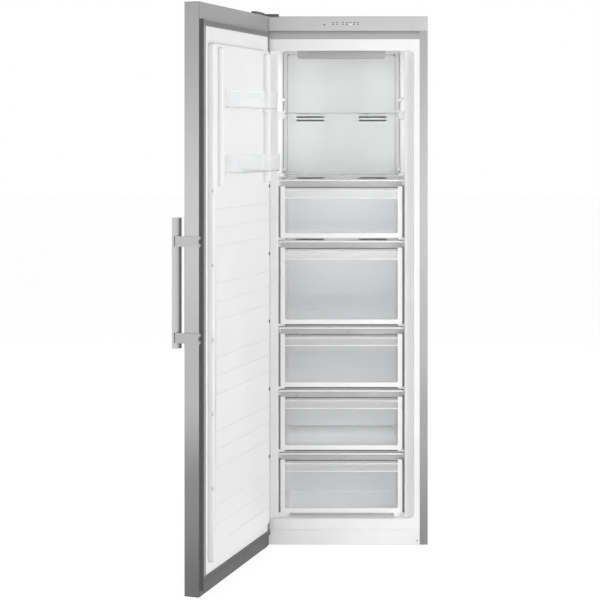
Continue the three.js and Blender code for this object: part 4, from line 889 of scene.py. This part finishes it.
def lamp(name, place, aim, size, power):
    """A soft lamp that lights the scene and is never seen itself."""
    light = bpy.data.lights.new(name, "AREA")
    light.shape = "RECTANGLE"
    light.size, light.size_y = size
    light.energy = power
    obj = bpy.data.objects.new(name, light)
    obj.location = place
    obj.rotation_euler = (Vector(aim) - Vector(place)).to_track_quat("-Z", "Y").to_euler()
    bpy.context.scene.collection.objects.link(obj)
    obj.visible_camera = False
    obj.visible_glossy = False
    obj.visible_transmission = False


def compartment_lamps():
    """Weak lamps inside the upper compartment, for the light that its white walls throw back."""
    lamp("upper_fill", at(0, 118, 1390), at(0, 400, 1390), (0.40, 0.20), 0.12)
    lamp("ceiling_fill", at(0, 180, 1500), at(0, 180 + TILT, 1700), (0.40, 0.24), 0.05)
    for side in (-1, 1):
        place, aim = at(side * 60, 170, 1490), at(side * 200, 170, 1490)
        lamp(f"wall_fill_{side + 1}", place, aim, (0.22, 0.40), 0.32)


def drawer_lamps(number):
    """A weak lamp over the basket and one behind the pane."""
    low, high = cabinet_box(f"drawer_{number}_front")
    middle = (low.z + high.z) / 2
    over, behind = (0.3, 0.1) if number in UPPER_DRAWERS else (0.2, 0.06)
    lamp(f"drawer_fill_{number}", at(0, 240, high.z - 8), at(0, 240 + TILT, low.z), (0.38, 0.34), over)
    lamp(f"pane_fill_{number}", at(0, 60, middle), at(0, 300, middle), (0.38, 0.16), behind)


def stage_camera():
    data = bpy.data.cameras.new("camera")
    data.sensor_width = SENSOR_WIDTH
    data.lens = FOCAL_PIXELS / FRAME_PIXELS * SENSOR_WIDTH
    data.shift_x = -AXIS_RIGHT / FRAME_PIXELS
    data.shift_y = -AXIS_UP / FRAME_PIXELS
    data.clip_end = 100.0
    camera = bpy.data.objects.new("camera", data)
    camera.location = at(0.0, -CAMERA_DISTANCE, CAMERA_HEIGHT)
    camera.rotation_euler = (math.radians(90.0), 0.0, 0.0)
    bpy.context.scene.collection.objects.link(camera)
    bpy.context.scene.camera = camera


stage_floor()
stage_world()
for name, values in STUDIO_LAMPS.items():
    lamp(name, *values)
compartment_lamps()
for number in DRAWERS:
    drawer_lamps(number)
stage_camera()
bpy.context.scene.view_settings.view_transform = "Standard"
